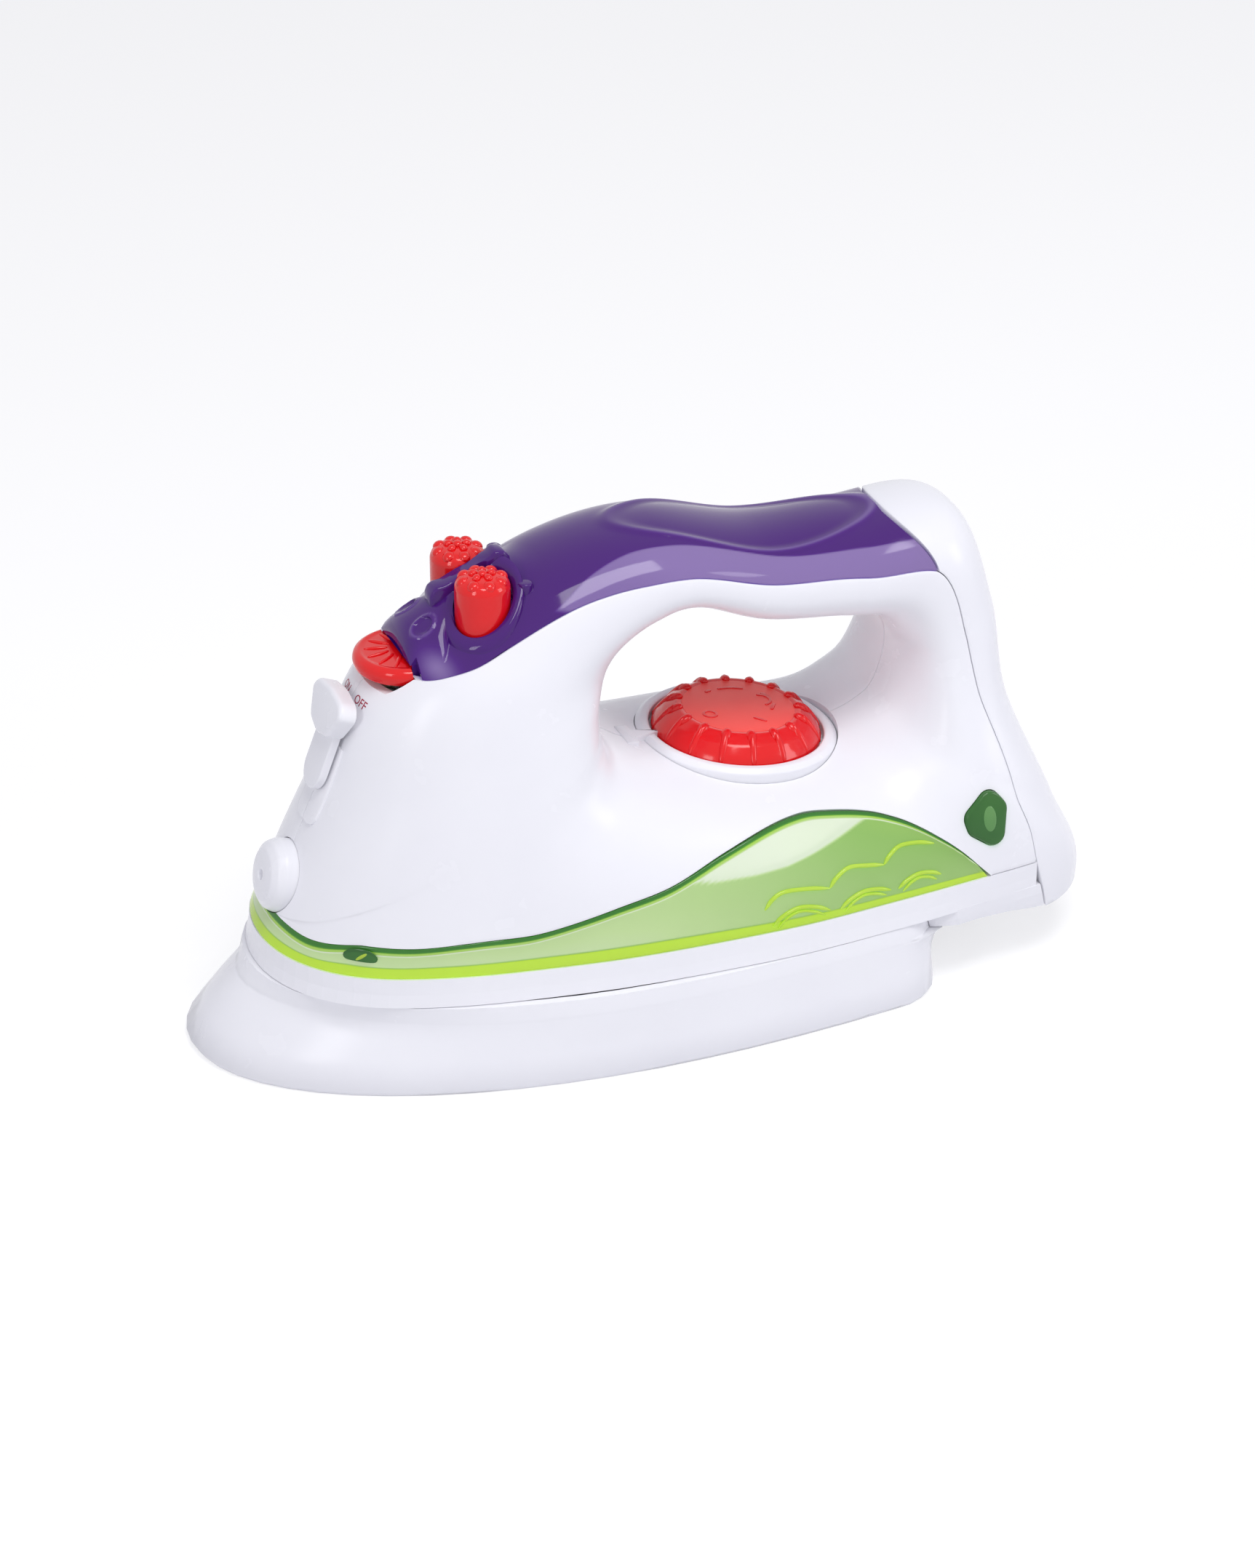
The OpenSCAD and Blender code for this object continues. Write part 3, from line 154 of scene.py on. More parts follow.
def share_of(u, d):
    """Share of the way to the outside that a distance takes up."""
    x0, z0, x1, z1 = np.moveaxis(station(u), -1, 0)[:4]
    return d / np.hypot(x1 - x0, z1 - z0)


def station_at(z, low, high):
    """Station whose outside point is at a height, by halving."""
    for _ in range(40):
        m = (low + high) / 2
        if station(m)[3] < z:
            low = m
        else:
            high = m
    return low


def trim_at(line, u):
    """Smooth value of a trim line at u."""
    x, y = line[:, 0], line[:, 1]
    slope = np.diff(y) / np.diff(x)
    slope = np.concatenate([slope[:1], (y[2:] - y[:-2]) / (x[2:] - x[:-2]), slope[-1:]])
    u = np.asarray(u, float)
    i = np.clip(np.searchsorted(x, u, "right") - 1, 0, len(x) - 2)
    w = x[i + 1] - x[i]
    k = np.clip((u - x[i]) / w, 0, 1)
    return (y[i] * (1 + 2 * k) * (1 - k) ** 2 + slope[i] * w * k * (1 - k) ** 2
            + y[i + 1] * k * k * (3 - 2 * k) + slope[i + 1] * w * k * k * (k - 1))


def smooth(low, high, x):
    k = np.clip((x - low) / (high - low), 0, 1)
    return k * k * (3 - 2 * k)


# Meshes
def new_object(name, data):
    obj = bpy.data.objects.new(name, data)
    bpy.context.scene.collection.objects.link(obj)
    return obj


def piece_from(name, points, faces, finish, sharp=40):
    """New mesh piece from points in millimetres, smooth except at edges sharper than an angle."""
    mesh = bpy.data.meshes.new(name)
    mesh.from_pydata((np.asarray(points, float) * MM).tolist(), [], [list(f) for f in faces])
    mesh.validate()
    mesh.materials.append(finish)
    shade(mesh, sharp)
    return new_object(name, mesh)


def shade(mesh, sharp=40):
    mesh.shade_smooth()
    mesh.set_sharp_from_angle(angle=math.radians(sharp))


def tidy_mesh(obj, gap=0.002, sharp=40):
    """Merges doubles and turns all faces outwards."""
    bm = bmesh.new()
    bm.from_mesh(obj.data)
    bmesh.ops.remove_doubles(bm, verts=bm.verts, dist=gap * MM)
    bmesh.ops.recalc_face_normals(bm, faces=bm.faces)
    bm.to_mesh(obj.data)
    bm.free()
    shade(obj.data, sharp)
    return obj


def evaluated(obj):
    graph = bpy.context.evaluated_depsgraph_get()
    graph.update()
    return bpy.data.meshes.new_from_object(obj.evaluated_get(graph), depsgraph=graph)


def applied(obj):
    """Replaces a piece's mesh by its evaluated one and removes its modifiers."""
    mesh = evaluated(obj)
    old = obj.data
    obj.modifiers.clear()
    obj.data = mesh
    if old.users == 0:
        bpy.data.meshes.remove(old)
    return obj


def solid_step(obj, other, operation):
    m = obj.modifiers.new("solid_step", "BOOLEAN")
    m.operation, m.solver, m.object = operation, "EXACT", other


def cut(obj, *cutters, sharp=40):
    """Takes the cutters' solids out of a piece and deletes them."""
    for c in cutters:
        solid_step(obj, c, "DIFFERENCE")
    applied(obj)
    for c in cutters:
        bpy.data.objects.remove(c)
    shade(obj.data, sharp)
    return obj


def joined(obj, *others):
    """Adds the meshes of other pieces to a piece and deletes them."""
    bm = bmesh.new()
    bm.from_mesh(obj.data)
    for o in others:
        bm.from_mesh(o.data)
        bpy.data.objects.remove(o)
    bm.to_mesh(obj.data)
    bm.free()
    shade(obj.data)
    return obj


def set_mark(obj, values):
    """Keeps a value at each point, which the see-through finishes read."""
    note = obj.data.attributes.new("mark", "FLOAT", "POINT")
    note.data.foreach_set("value", np.asarray(values, np.float32))


def bands(rings, around, closed=False):
    """Faces between rings of points; where closed, the last ring meets the first."""
    n = around
    return [[k * n + i, k * n + (i + 1) % n, (k + 1) % rings * n + (i + 1) % n, (k + 1) % rings * n + i]
            for k in range(rings if closed else rings - 1) for i in range(n)]


def unit(rows):
    return rows / np.linalg.norm(rows, axis=1)[:, None]


def full_turn(count):
    return np.linspace(0, 2 * math.pi, count, endpoint=False)


def row_places(sheet, s, columns, edge):
    """Places across a sheet at even distances, the outer ones drawn in from its edges."""
    fine = 0.5 - 0.5 * np.cos(np.linspace(0, math.pi, 181))
    path = sheet(np.full(fine.shape, s), fine, 0.0)
    arc = np.concatenate([[0], np.cumsum(np.linalg.norm(np.diff(path, axis=0), axis=1))])
    e = min(edge, 0.3 * arc[-1])
    return np.interp(e + (arc[-1] - 2 * e) * np.linspace(0, 1, columns), arc, fine)


def sheet_grid(sheet, rows, columns, edge, inset, relief=None, mark=None):
    """Grid of points on a sheet, shape rows x columns x 3, with a mark for each point in a second array."""
    t = np.array([row_places(sheet, s, columns, edge) for s in rows])
    s = np.repeat(np.asarray(rows, float)[:, None], columns, 1)
    points = sheet(s, t, inset)
    if relief is not None:
        points = sheet(s, t, inset - relief(points))
    return points, t if mark is None else mark(s, t, points)


def shell_piece(name, sheet, rows, columns, depth, rim, finish, closed=False, relief=None, ends=0.0,
                mark=None):
    """Closed shell under a sheet, with rounded rims.

    The rows are places along the sheet, and a closed sheet runs round.
    """
    rows = np.asarray(rows, float)
    layers = []
    for draw, down in ((1.0, 0.0), (0.3, 0.3), (0.0, 1.0)):
        r = rows.copy()
        if not closed:
            r[0] += draw * ends
            r[-1] -= draw * ends
        lift = relief if down == 0 else None
        layers.append(sheet_grid(sheet, r, columns, draw * rim, down * rim, lift, mark))
    inner = sheet_grid(sheet, rows, columns, 0.0, depth, None, mark)
    n, m = len(rows), columns
    points = [layers[0][0].reshape(-1, 3)]
    shares = [layers[0][1].reshape(-1)]
    count = n * m
    out = lambda i, j: (i % n) * m + j
    faces = [(out(i, j), out(i, j + 1), out(i + 1, j + 1), out(i + 1, j))
             for i in range(n if closed else n - 1) for j in range(m - 1)]
    if closed:
        loops = [[(i, 0) for i in range(n)], [(i, m - 1) for i in range(n)][::-1]]
    else:
        loops = [[(i, 0) for i in range(n)] + [(n - 1, j) for j in range(1, m)]
                 + [(i, m - 1) for i in range(n - 2, -1, -1)] + [(0, j) for j in range(m - 2, 0, -1)]]
    rings = [[[out(i, j) for i, j in loop] for loop in loops]]
    for grid, t in layers[1:]:
        ring = []
        for loop in loops:
            points.append(np.array([grid[i, j] for i, j in loop]))
            shares.append(np.array([t[i, j] for i, j in loop]))
            ring.append(list(range(count, count + len(loop))))
            count += len(loop)
        rings.append(ring)
    base = count
    points.append(inner[0].reshape(-1, 3))
    shares.append(inner[1].reshape(-1))
    rings.append([[base + out(i, j) for i, j in loop] for loop in loops])
    faces += [(base + a, base + d, base + c, base + b) for a, b, c, d in faces]
    for high, low in zip(rings[:-1], rings[1:]):
        for a, b in zip(high, low):
            for k in range(len(a)):
                k2 = (k + 1) % len(a)
                faces.append((a[k], a[k2], b[k2], b[k]))
    obj = piece_from(name, np.concatenate(points), faces, finish)
    set_mark(obj, np.concatenate(shares))
    return tidy_mesh(obj)


def flipped(obj):
    """Moves a piece to the other side of the middle plane."""
    obj.data.transform(Matrix.Diagonal((1, -1, 1, 1)))
    obj.data.flip_normals()
    return obj


def mirrored(obj, name):
    """Copy of a piece on the other side of the middle plane."""
    twin = flipped(new_object(name, obj.data.copy()))
    twin.data.name = name
    return tidy_mesh(twin)


def bent(a, b, c, radius, most, steps):
    """Points of a rounded corner at b, which takes up to a share of each side."""
    ab, bc = np.linalg.norm(b - a), np.linalg.norm(c - b)
    r = min(radius, most * ab, most * bc)
    s, e = b + (a - b) * r / ab, b + (c - b) * r / bc
    return [(1 - k) ** 2 * s + 2 * k * (1 - k) * b + k * k * e for k in np.linspace(0, 1, steps + 1)]


def soft_line(points, radius, steps=4):
    """Open profile with its inner corners rounded."""
    p = np.asarray(points, float)
    made = [p[0]]
    for a, b, c in zip(p[:-2], p[1:-1], p[2:]):
        made += bent(a, b, c, radius, 0.45, steps)
    return np.array([*made, p[-1]])


def round_outline(points, radius, steps=6):
    """Closed outline with rounded corners."""
    p = np.asarray(points, float)
    made = []
    for a, b, c in zip(np.roll(p, 1, 0), p, np.roll(p, -1, 0)):
        made += bent(a, b, c, radius, 0.48, steps)
    return np.array(made)


def lathe(name, profile, finish, segments, soft=0.0, sharp=35):
    """Piece turned about Z from a profile of (radius, height), its corners rounded where asked."""
    points, faces, rows = [], [], []
    for r, z in soft_line(profile, soft) if soft else profile:
        if r < 1e-6:
            rows.append([len(points)] * segments)
            points.append((0, 0, z))
        else:
            rows.append(list(range(len(points), len(points) + segments)))
            points += [(r * math.cos(a), r * math.sin(a), z) for a in full_turn(segments)]
    for low, high in zip(rows[:-1], rows[1:]):
        for k in range(segments):
            k2 = (k + 1) % segments
            ring = list(dict.fromkeys([low[k], low[k2], high[k2], high[k]]))
            if len(ring) > 2:
                faces.append(ring)
    return tidy_mesh(piece_from(name, points, faces, finish, sharp), sharp=sharp)


def extruded(name, outline, low, high, finish, soften=0.0, steps=3, sharp=35):
    """Plate from a closed outline of (x, y), its upper edge rounded."""
    o = np.asarray(outline, float)
    area = np.sum(o[:, 0] * np.roll(o[:, 1], -1) - np.roll(o[:, 0], -1) * o[:, 1])
    if area < 0:
        o = o[::-1]
    edge = np.roll(o, -1, 0) - o
    normal = unit(np.stack([edge[:, 1], -edge[:, 0]], 1))
    corner = normal + np.roll(normal, 1, 0)
    corner /= np.maximum(1e-9, (corner * normal).sum(1))[:, None]
    levels = [(0.0, low)]
    for k in np.linspace(0, 1, steps + 1):
        a = k * math.pi / 2
        levels.append((soften * (1 - math.cos(a)), high - soften * (1 - math.sin(a))))
    if soften == 0:
        levels = levels[:2]
    n = len(o)
    points = [(x, y, z) for d, z in levels for x, y in o - corner * d]
    faces = bands(len(levels), n)
    faces += [list(range(n))[::-1], [(len(levels) - 1) * n + i for i in range(n)]]
    return piece_from(name, points, faces, finish, sharp)


def placed(obj, matrix):
    """Moves a piece's mesh by a matrix in millimetres."""
    m = matrix.copy()
    m.translation = m.translation * MM
    obj.data.transform(m)
    return obj


def turned(axis, degrees):
    return Matrix.Rotation(math.radians(degrees), 4, axis)


def peg(name, radius, low, high, segments=64):
    return lathe(name, [(0, low), (radius, low), (radius, high), (0, high)], white_abs, segments)


def bead(name, size, finish, at=(0, 0, 0), turn=0.0):
    """Small ellipsoid for bumps and ribs."""
    bm = bmesh.new()
    bmesh.ops.create_uvsphere(bm, u_segments=24, v_segments=14, radius=1.0)
    mesh = bpy.data.meshes.new(name)
    bm.to_mesh(mesh)
    bm.free()
    mesh.materials.append(finish)
    mesh.shade_smooth()
    grow = Matrix.Diagonal((size[0] * MM, size[1] * MM, size[2] * MM, 1))
    return placed(new_object(name, mesh), Matrix.Translation(at) @ turned("Y", turn) @ grow)


def fixed(obj, body, slot, *nodes):
    """Finishes a piece: it rides on a body and stands for CAD nodes, which it hides. The slot is not used.
    """
    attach(obj, body)
    if nodes:
        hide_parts(*nodes)
    return obj


def on_both_sides(obj, right_name):
    """Finishes a small piece on the window's left side and its mirror image."""
    fixed(mirrored(obj, right_name), BODY, "lime_clear")
    fixed(obj, BODY, "lime_clear")


# Finishes
def finish_tree(name):
    mat = bpy.data.materials.new(name)
    mat.use_nodes = True
    nodes = mat.node_tree.nodes
    return mat, nodes, nodes["Principled BSDF"]


def wire(source, out, target, into):
    """Links an output of a node to an input of another, each by its name or number."""
    source.id_data.links.new(source.outputs[out], target.inputs[into])


def set_inputs(node, *pairs):
    for key, value in pairs:
        node.inputs[key].default_value = value


def add(nodes, kind, *pairs, **settings):
    """New node with its settings and the values of its inputs."""
    node = nodes.new(kind)
    for key, value in settings.items():
        setattr(node, key, value)
    set_inputs(node, *pairs)
    return node


def ramp(nodes, stops):
    node = nodes.new("ShaderNodeValToRGB")
    while len(node.color_ramp.elements) < len(stops):
        node.color_ramp.elements.new(0.5)
    for e, (at, color) in zip(node.color_ramp.elements, stops):
        e.position = at
        e.color = (*color, 1)
    return node


def noise(nodes, place, scale, detail):
    node = add(nodes, "ShaderNodeTexNoise", ("Scale", scale), ("Detail", detail))
    wire(place, "Object", node, "Vector")
    return node


def gloss_from(nodes, source, shader, rough, low=0.0, high=1.0):
    """Roughness that runs between two values with a noise."""
    gloss = add(nodes, "ShaderNodeMapRange", ("From Min", low), ("From Max", high), ("To Min", rough[0]),
                ("To Max", rough[1]))
    wire(source, "Fac", gloss, "Value")
    wire(gloss, "Result", shader, "Roughness")


def moulded(name, low, high, rough, grain, mottle=30.0, shine=0.5):
    """Moulded plastic: slow colour drift, flow-mark gloss and a fine skin."""
    mat, nodes, shader = finish_tree(name)
    place = nodes.new("ShaderNodeTexCoord")
    tint = ramp(nodes, ((0.3, low), (0.7, high)))
    wire(noise(nodes, place, mottle, 3.0), "Fac", tint, "Fac")
    wire(tint, "Color", shader, "Base Color")
    gloss_from(nodes, noise(nodes, place, 90.0, 4.0), shader, rough, 0.3, 0.7)
    bump = add(nodes, "ShaderNodeBump", ("Strength", grain), ("Distance", 0.0001))
    wire(noise(nodes, place, 1500.0, 2.0), "Fac", bump, "Height")
    wire(bump, "Normal", shader, "Normal")
    set_inputs(shader, ("Specular IOR Level", shine))
    return mat


def see_through(name, stops, rough, clear, shadow, attribute=None):
    """See-through plastic that lets the lamps reach what is behind it."""
    mat, nodes, shader = finish_tree(name)
    drift = noise(nodes, nodes.new("ShaderNodeTexCoord"), 45.0, 3.0)
    tint = ramp(nodes, stops)
    # Where asked, a value at each point picks the colour; on the cover and window it also carries painted
    # light
    if attribute:
        mark = add(nodes, "ShaderNodeAttribute", attribute_name=attribute)
        mix = add(nodes, "ShaderNodeMath", (1, 0.03), operation="MULTIPLY_ADD")
        wire(drift, "Fac", mix, 0)
        wire(mark, "Fac", mix, 2)
        wire(mix, 0, tint, "Fac")
    else:
        wire(drift, "Fac", tint, "Fac")
    wire(tint, "Color", shader, "Base Color")
    gloss_from(nodes, drift, shader, rough)
    set_inputs(shader, ("Transmission Weight", clear), ("IOR", 1.45), ("Specular IOR Level", 0.32))
    lets = add(nodes, "ShaderNodeBsdfTransparent", ("Color", (*shadow, 1)))
    both = nodes.new("ShaderNodeMixShader")
    wire(nodes.new("ShaderNodeLightPath"), "Is Shadow Ray", both, 0)
    wire(shader, 0, both, 1)
    wire(lets, 0, both, 2)
    wire(both, 0, nodes["Material Output"], "Surface")
    return mat


def metal(name, low, high, rough, scale):
    """Plain metal with rolling or drawing marks."""
    mat = moulded(name, low, high, rough, 0.15, mottle=scale)
    set_inputs(mat.node_tree.nodes["Principled BSDF"], ("Metallic", 1.0))
    return mat


white_abs = moulded("white_gloss_abs", (0.86, 0.86, 0.9), (0.885, 0.885, 0.92), (0.2, 0.28), 0.03,
                    shine=0.22)
red_abs = moulded("red_gloss_abs", (0.74, 0.003, 0.006), (0.8, 0.006, 0.008), (0.08, 0.15), 0.03, shine=0.4)
red_face = moulded("red_satin_face", (0.9, 0.07, 0.06), (0.95, 0.09, 0.07), (0.35, 0.45), 0.2, shine=0.3)
red_ink = moulded("red_ink", (0.32, 0.004, 0.04), (0.4, 0.006, 0.05), (0.3, 0.5), 0.3, mottle=400.0)
# Dark violet of the plastic, running to pale lavender for the cover's painted light: the lit seat,
# highlights and glow
violet_clear = see_through("violet_clear_plastic", (
    (0.0, (0.075, 0.011, 0.2)), (0.12, (0.09, 0.016, 0.24)), (0.5, (0.18, 0.1, 0.34)),
    (1.0, (0.29, 0.2, 0.45))), (0.04, 0.1), 0.2, (0.35, 0.2, 0.65), "mark")
# Greens of the plastic, with the pale colour of the painted reflection and the bright lime of the painted
# rim light
lime_clear = see_through("lime_clear_plastic", (
    (0.0, (0.04, 0.2, 0.03)), (0.12, (0.09, 0.34, 0.04)), (0.19, (0.4, 0.68, 0.07)),
    (0.25, (0.6, 0.75, 0.4)), (0.33, (0.84, 0.9, 0.76)), (0.5, (0.6, 0.77, 0.38)),
    (0.7, (0.32, 0.55, 0.15)), (0.85, (0.5, 0.74, 0.07)), (0.93, (0.58, 0.84, 0.06)),
    (1.0, (0.62, 0.86, 0.1))), (0.05, 0.12), 0.2, (0.85, 0.95, 0.7), "mark")
lime_bead = see_through("lime_clear_bead", ((0.3, (0.56, 0.78, 0.06)), (0.7, (0.64, 0.84, 0.1))),
                        (0.05, 0.12), 0.3, (0.85, 0.95, 0.7))
green_clear = see_through("green_clear_plastic", ((0.3, (0.03, 0.14, 0.03)), (0.7, (0.07, 0.24, 0.05))),
                          (0.04, 0.12), 0.3, (0.5, 0.8, 0.45))
# Lighter green for the painted highlight on the lenses
lens_highlight_green = see_through("lens_highlight_plastic", ((0.3, (0.1, 0.3, 0.08)), (0.7, (0.22, 0.46, 0.16))),
                         (0.04, 0.12), 0.3, (0.6, 0.85, 0.5))
steel = metal("zinc_steel", (0.6, 0.61, 0.63), (0.74, 0.75, 0.77), (0.22, 0.4), 220.0)
spring_steel = metal("spring_steel", (0.5, 0.5, 0.52), (0.68, 0.68, 0.7), (0.25, 0.4), 300.0)
cell_wrap = moulded("cell_wrap", (0.05, 0.09, 0.2), (0.07, 0.12, 0.26), (0.25, 0.4), 0.1)
board_mask = moulded("board_mask", (0.02, 0.2, 0.07), (0.03, 0.27, 0.1), (0.3, 0.5), 0.3, mottle=150.0)
lamp_clear = moulded("lamp_clear", (0.75, 0.8, 0.75), (0.85, 0.9, 0.85), (0.1, 0.2), 0.05)
speaker_black = moulded("speaker_cone", (0.02, 0.02, 0.022), (0.04, 0.04, 0.045), (0.5, 0.7), 0.6)


# Shells
def rows_of(*spans):
    """Rows along a sheet, from spans of (from, to, count)."""
    return np.concatenate([np.linspace(*span) for span in spans])


half_us = rows_of(
    (WINDOW_REAR, -1.75, 24), (-1.7, 1.4, 60), (1.45, 3.5, 56), (3.53, 4.0, 22), (4.04, 6.1, 46),
    (6.13, 6.5, 20), (6.55, 11.9, 150), (11.95, 15.95, 84), (16.0, 16.66, 22))


def half_edge(u):
    """Trim line of the body half round the loop: window, nose, cover, rear cover and parting line."""
    made = np.where(u <= WINDOW_FRONT, trim_at(WINDOW_EDGE, u), 1.0)
    made = np.where(u > COVER_FRONT - 0.05, trim_at(COVER_EDGE, u), made)
    made = np.where(u > COVER_REAR, trim_at(REAR_EDGE, u), made)
    return np.where(u > SEAM_LOW, cut_share(u, PART_Z + SEAM), made)


def half_sheet(u, t, inset):
    p = skin(u, t * angle_of(half_edge(u)), inset)
    p[..., 1] -= SEAM / 4
    return p


def hood(x, y):
    """Lift of the handle cover: a hood over the front button, narrower between the two others."""
    k = np.clip((x - HOOD_FRONT) / 3.0, 0, 1)
    across = y / (14.0 - 5.0 * smooth(DISC_X + 4, DISC_X + 8.5, x))
    rise = HOOD_RISE * np.sqrt(1 - (1 - k) ** 2) * smooth(BUTTON_X + 15, BUTTON_X, x)
    return rise * np.maximum(0, 1 - across ** 2)


def arch_sheet(line, side_ends, middle_ends, lift=None):
    """Sheet over the outside, from a trim line on the left to its mirror image."""
    def sheet(s, t, inset):
        k = (s - side_ends[0]) / (side_ends[1] - side_ends[0])
        middle = middle_ends[0] + (middle_ends[1] - middle_ends[0]) * k
        r = 2 * t - 1
        phi = angle_of(trim_at(line, s) + share_of(s, SEAM))
        points = skin(middle + (s - middle) * r * r, 180 + r * (180 - phi), inset)
        if lift is not None:
            points[..., 2] += lift(points[..., 0], points[..., 1])
        return points
    return sheet


# Places of the dial, lever, nozzle and lens on the skin
on_deck = Matrix.Translation((26.806, 0, 55.4224)) @ turned("Y", 5.08015)
on_nose = Matrix.Translation((-73.9696, 0, 66.32)) @ turned("Z", -90) @ turned("X", 68.7653)
at_nozzle = Matrix.Translation((-85.7894, 0, 40.801)) @ turned("Y", 14 - 90)
lens_z = Vector((0.0562, -0.9671, 0.2483)).normalized()
lens_x = Vector((0, 0, 1)).cross(lens_z).normalized()
lens_y = lens_z.cross(lens_x)
lens_turn = Matrix((lens_x, lens_y, lens_z)).transposed().to_4x4()
on_lens = Matrix.Translation((73.943, -38.165, 41.335)) @ lens_turn


def grown(points, radius, steps=8):
    """Outline at a distance round a convex one that runs clockwise."""
    p = np.asarray(points, float)
    edge = np.roll(p, -1, 0) - p
    turn = np.arctan2(edge[:, 0], -edge[:, 1])
    made = []
    for k in range(len(p)):
        a, b = turn[k - 1], turn[k]
        b = a - (a - b) % (2 * math.pi)
        made += [p[k] + radius * np.array([math.cos(c), math.sin(c)]) for c in np.linspace(a, b, steps)]
    return np.array(made)


LENS = [(-2.6, 0.6), (1, 3.6), (2.4, 1.8), (1.4, -3.6), (-2.2, -1)]


def disc_plan(grow):
    """Outline of the front button: half a disc with a slimmer tail under the hood."""
    step, radius, half = HOOD_FRONT - DISC_X + 0.4 + grow, DISC_D / 2 + grow, DISC_SLIM / 2 + grow
    a = math.acos(step / radius)
    arc = [(radius * math.cos(c), radius * math.sin(c)) for c in np.linspace(a, 2 * math.pi - a, 72)]
    tail = [(DISC_REAR + grow, -half), (DISC_REAR + grow, half)]
    return np.array([(step, half), *arc, (step, -half), *tail]) + (DISC_X, 0)


over_y = turned("X", 90)


def cylinder(radius, low, high, matrix):
    return placed(peg("cutter", radius, low, high), matrix)


def box_cutter(low, high):
    outline = [(low[0], low[1]), (high[0], low[1]), (high[0], high[1]), (low[0], high[1])]
    return extruded("cutter", outline, low[2], high[2], white_abs)


def button_hole(radius, low, high, side):
    return cylinder(radius, low, high, Matrix.Translation((BUTTON_X, side * BUTTON_Y, 0)))


def disc_pocket(rise):
    """Cutter for the room round the front button."""
    return extruded("cutter", disc_plan(BUTTON_GAP), DISC_Z - DISC_DROP, DISC_Z + DISC_H + rise, white_abs)


def tree_of(obj):
    points = [v.co / MM for v in obj.data.vertices]
    return BVHTree.FromPolygons(points, [p.vertices for p in obj.data.polygons])


def boss_at(spot):
    """Point in the wall where a screw boss stands."""
    return skin(spot[0], angle_of(spot[1]), WALL * 0.85)


def boss(tree, spot, bore, wide, foot, around=40):
    """Screw boss from the middle plane to the wall of the shell."""
    p = boss_at(spot)
    rows = []
    for r in (wide, bore):
        ring = []
        for a in full_turn(around):
            x, z = p[0] + r * math.cos(a), p[2] + r * math.sin(a)
            hit = tree.ray_cast(Vector((x, -0.5, z)), Vector((0, -1, 0)))[0]
            ring.append((x, hit.y - 0.9 if hit else p[1], z))
        rows.append(ring)
    rows += [[(x, -foot, z) for x, y, z in rows[1]], [(x, -foot, z) for x, y, z in rows[0]]]
    points = [q for ring in rows for q in ring]
    return tidy_mesh(piece_from("boss", points, bands(len(rows), around, True), white_abs))


def half_body(name, screws):
    """One half of the body, on the left: shell, seat of the cover, bosses and nose pad."""
    shell = shell_piece(name, half_sheet, half_us, 64, WALL, RIM, white_abs, closed=True)
    tree = tree_of(shell)
    wide, bore = (4.6, 3.0) if screws else (2.85, 1.25)
    added = [boss(tree, s, bore, wide, 0.06) for s in SCREW_SPOTS]
    cutters = [cylinder(RING_D / 2 + SEAM, -20, 20, on_deck),
               cylinder(NOZZLE_D / 2 + SEAM, -20, 20, at_nozzle),
               disc_pocket(HOOD_RISE), button_hole(COLLAR_SEAT, 91, 111, -1),
               cylinder(2.1, -12, 12, on_nose),
               placed(extruded("cutter", grown(LENS, 3.0 + SEAM), -8, 8, white_abs), on_lens)]
    if screws:
        for s in SCREW_SPOTS:
            p = boss_at(s)
            cutters.append(cylinder(3.0, 8.0, 70.0, Matrix.Translation((p[0], 0, p[2])) @ over_y))
    cut(shell, *cutters)
    low = CLEAR_WALL + SEAM

    def flange_sheet(s, t, inset):
        a, b = angle_of(trim_at(COVER_EDGE, s) - 0.05), angle_of(trim_at(FLANGE_EDGE, s))
        return skin(s, a + (b - a) * t, inset + low)
    flange = shell_piece("flange", flange_sheet, np.linspace(6.95, 11.55, 120), 16, 1.6, 0.3, white_abs)
    cut(flange, button_hole(COLLAR_SEAT, 80, 130, -1), disc_pocket(HOOD_RISE))
    back = on_nose.to_3x3() @ Vector((0, 0, -1))

    def pad_sheet(s, t, inset):
        s, t = np.broadcast_arrays(s, t)
        made = np.empty(s.shape + (3,))
        for k in np.ndindex(s.shape):
            end = max(0.0, -10.5 - s[k])
            half = 3.0 + math.sqrt(max(0.0, 2.5 ** 2 - end ** 2))
            across = 0.05 + half * t[k]
            hit = tree.ray_cast(on_nose @ Vector((max(0.6, across), s[k], 12.0)), back)[0]
            made[k] = Vector((hit.x, -across, hit.z)) - back * (0.5 - inset)
        return made
    pad_rows = rows_of((-12.95, -10.5, 8), (-9.5, 7, 18))
    pad = shell_piece("pad", pad_sheet, pad_rows, 10, 1.0, 0.25, white_abs)
    return joined(shell, flange, pad, *added)


def label(word, across, along, size, tree):
    """Printed word laid on the nose above the switch lever."""
    curve = bpy.data.curves.new(word, "FONT")
    curve.body, curve.size, curve.extrude, curve.resolution_u = word, size, 0.02, 4
    curve.align_x = curve.align_y = "CENTER"
    text = new_object("text", curve)
    mesh = evaluated(text)
    bpy.data.objects.remove(text)
    out = on_nose.to_3x3() @ Vector((0, 0, 1))
    for v in mesh.vertices:
        start = on_nose @ Vector((across + v.co.x, along + v.co.y, 14.0))
        flip = start.y > 0
        start.y = -max(0.4, abs(start.y))
        hit = tree.ray_cast(start, -out)[0]
        v.co = (Vector((hit.x, -hit.y if flip else hit.y, hit.z)) + out * (0.03 + v.co.z)) * MM
    mesh.materials.clear()
    mesh.materials.append(red_ink)
    return new_object("label_" + word.lower(), mesh)


left = half_body("body_left_shell", False)
fixed(left, BODY, "white_abs", "body_left")
nose_tree = tree_of(left)
for word, across in (("ON", -4.6), ("OFF", 4.2)):
    fixed(label(word, across, 18.6, 2.9, nose_tree), BODY, "red_abs")
right = half_body("right_half", True)
fixed(mirrored(right, "body_right_shell"), BODY, "white_abs", "body_right")
bpy.data.objects.remove(right)

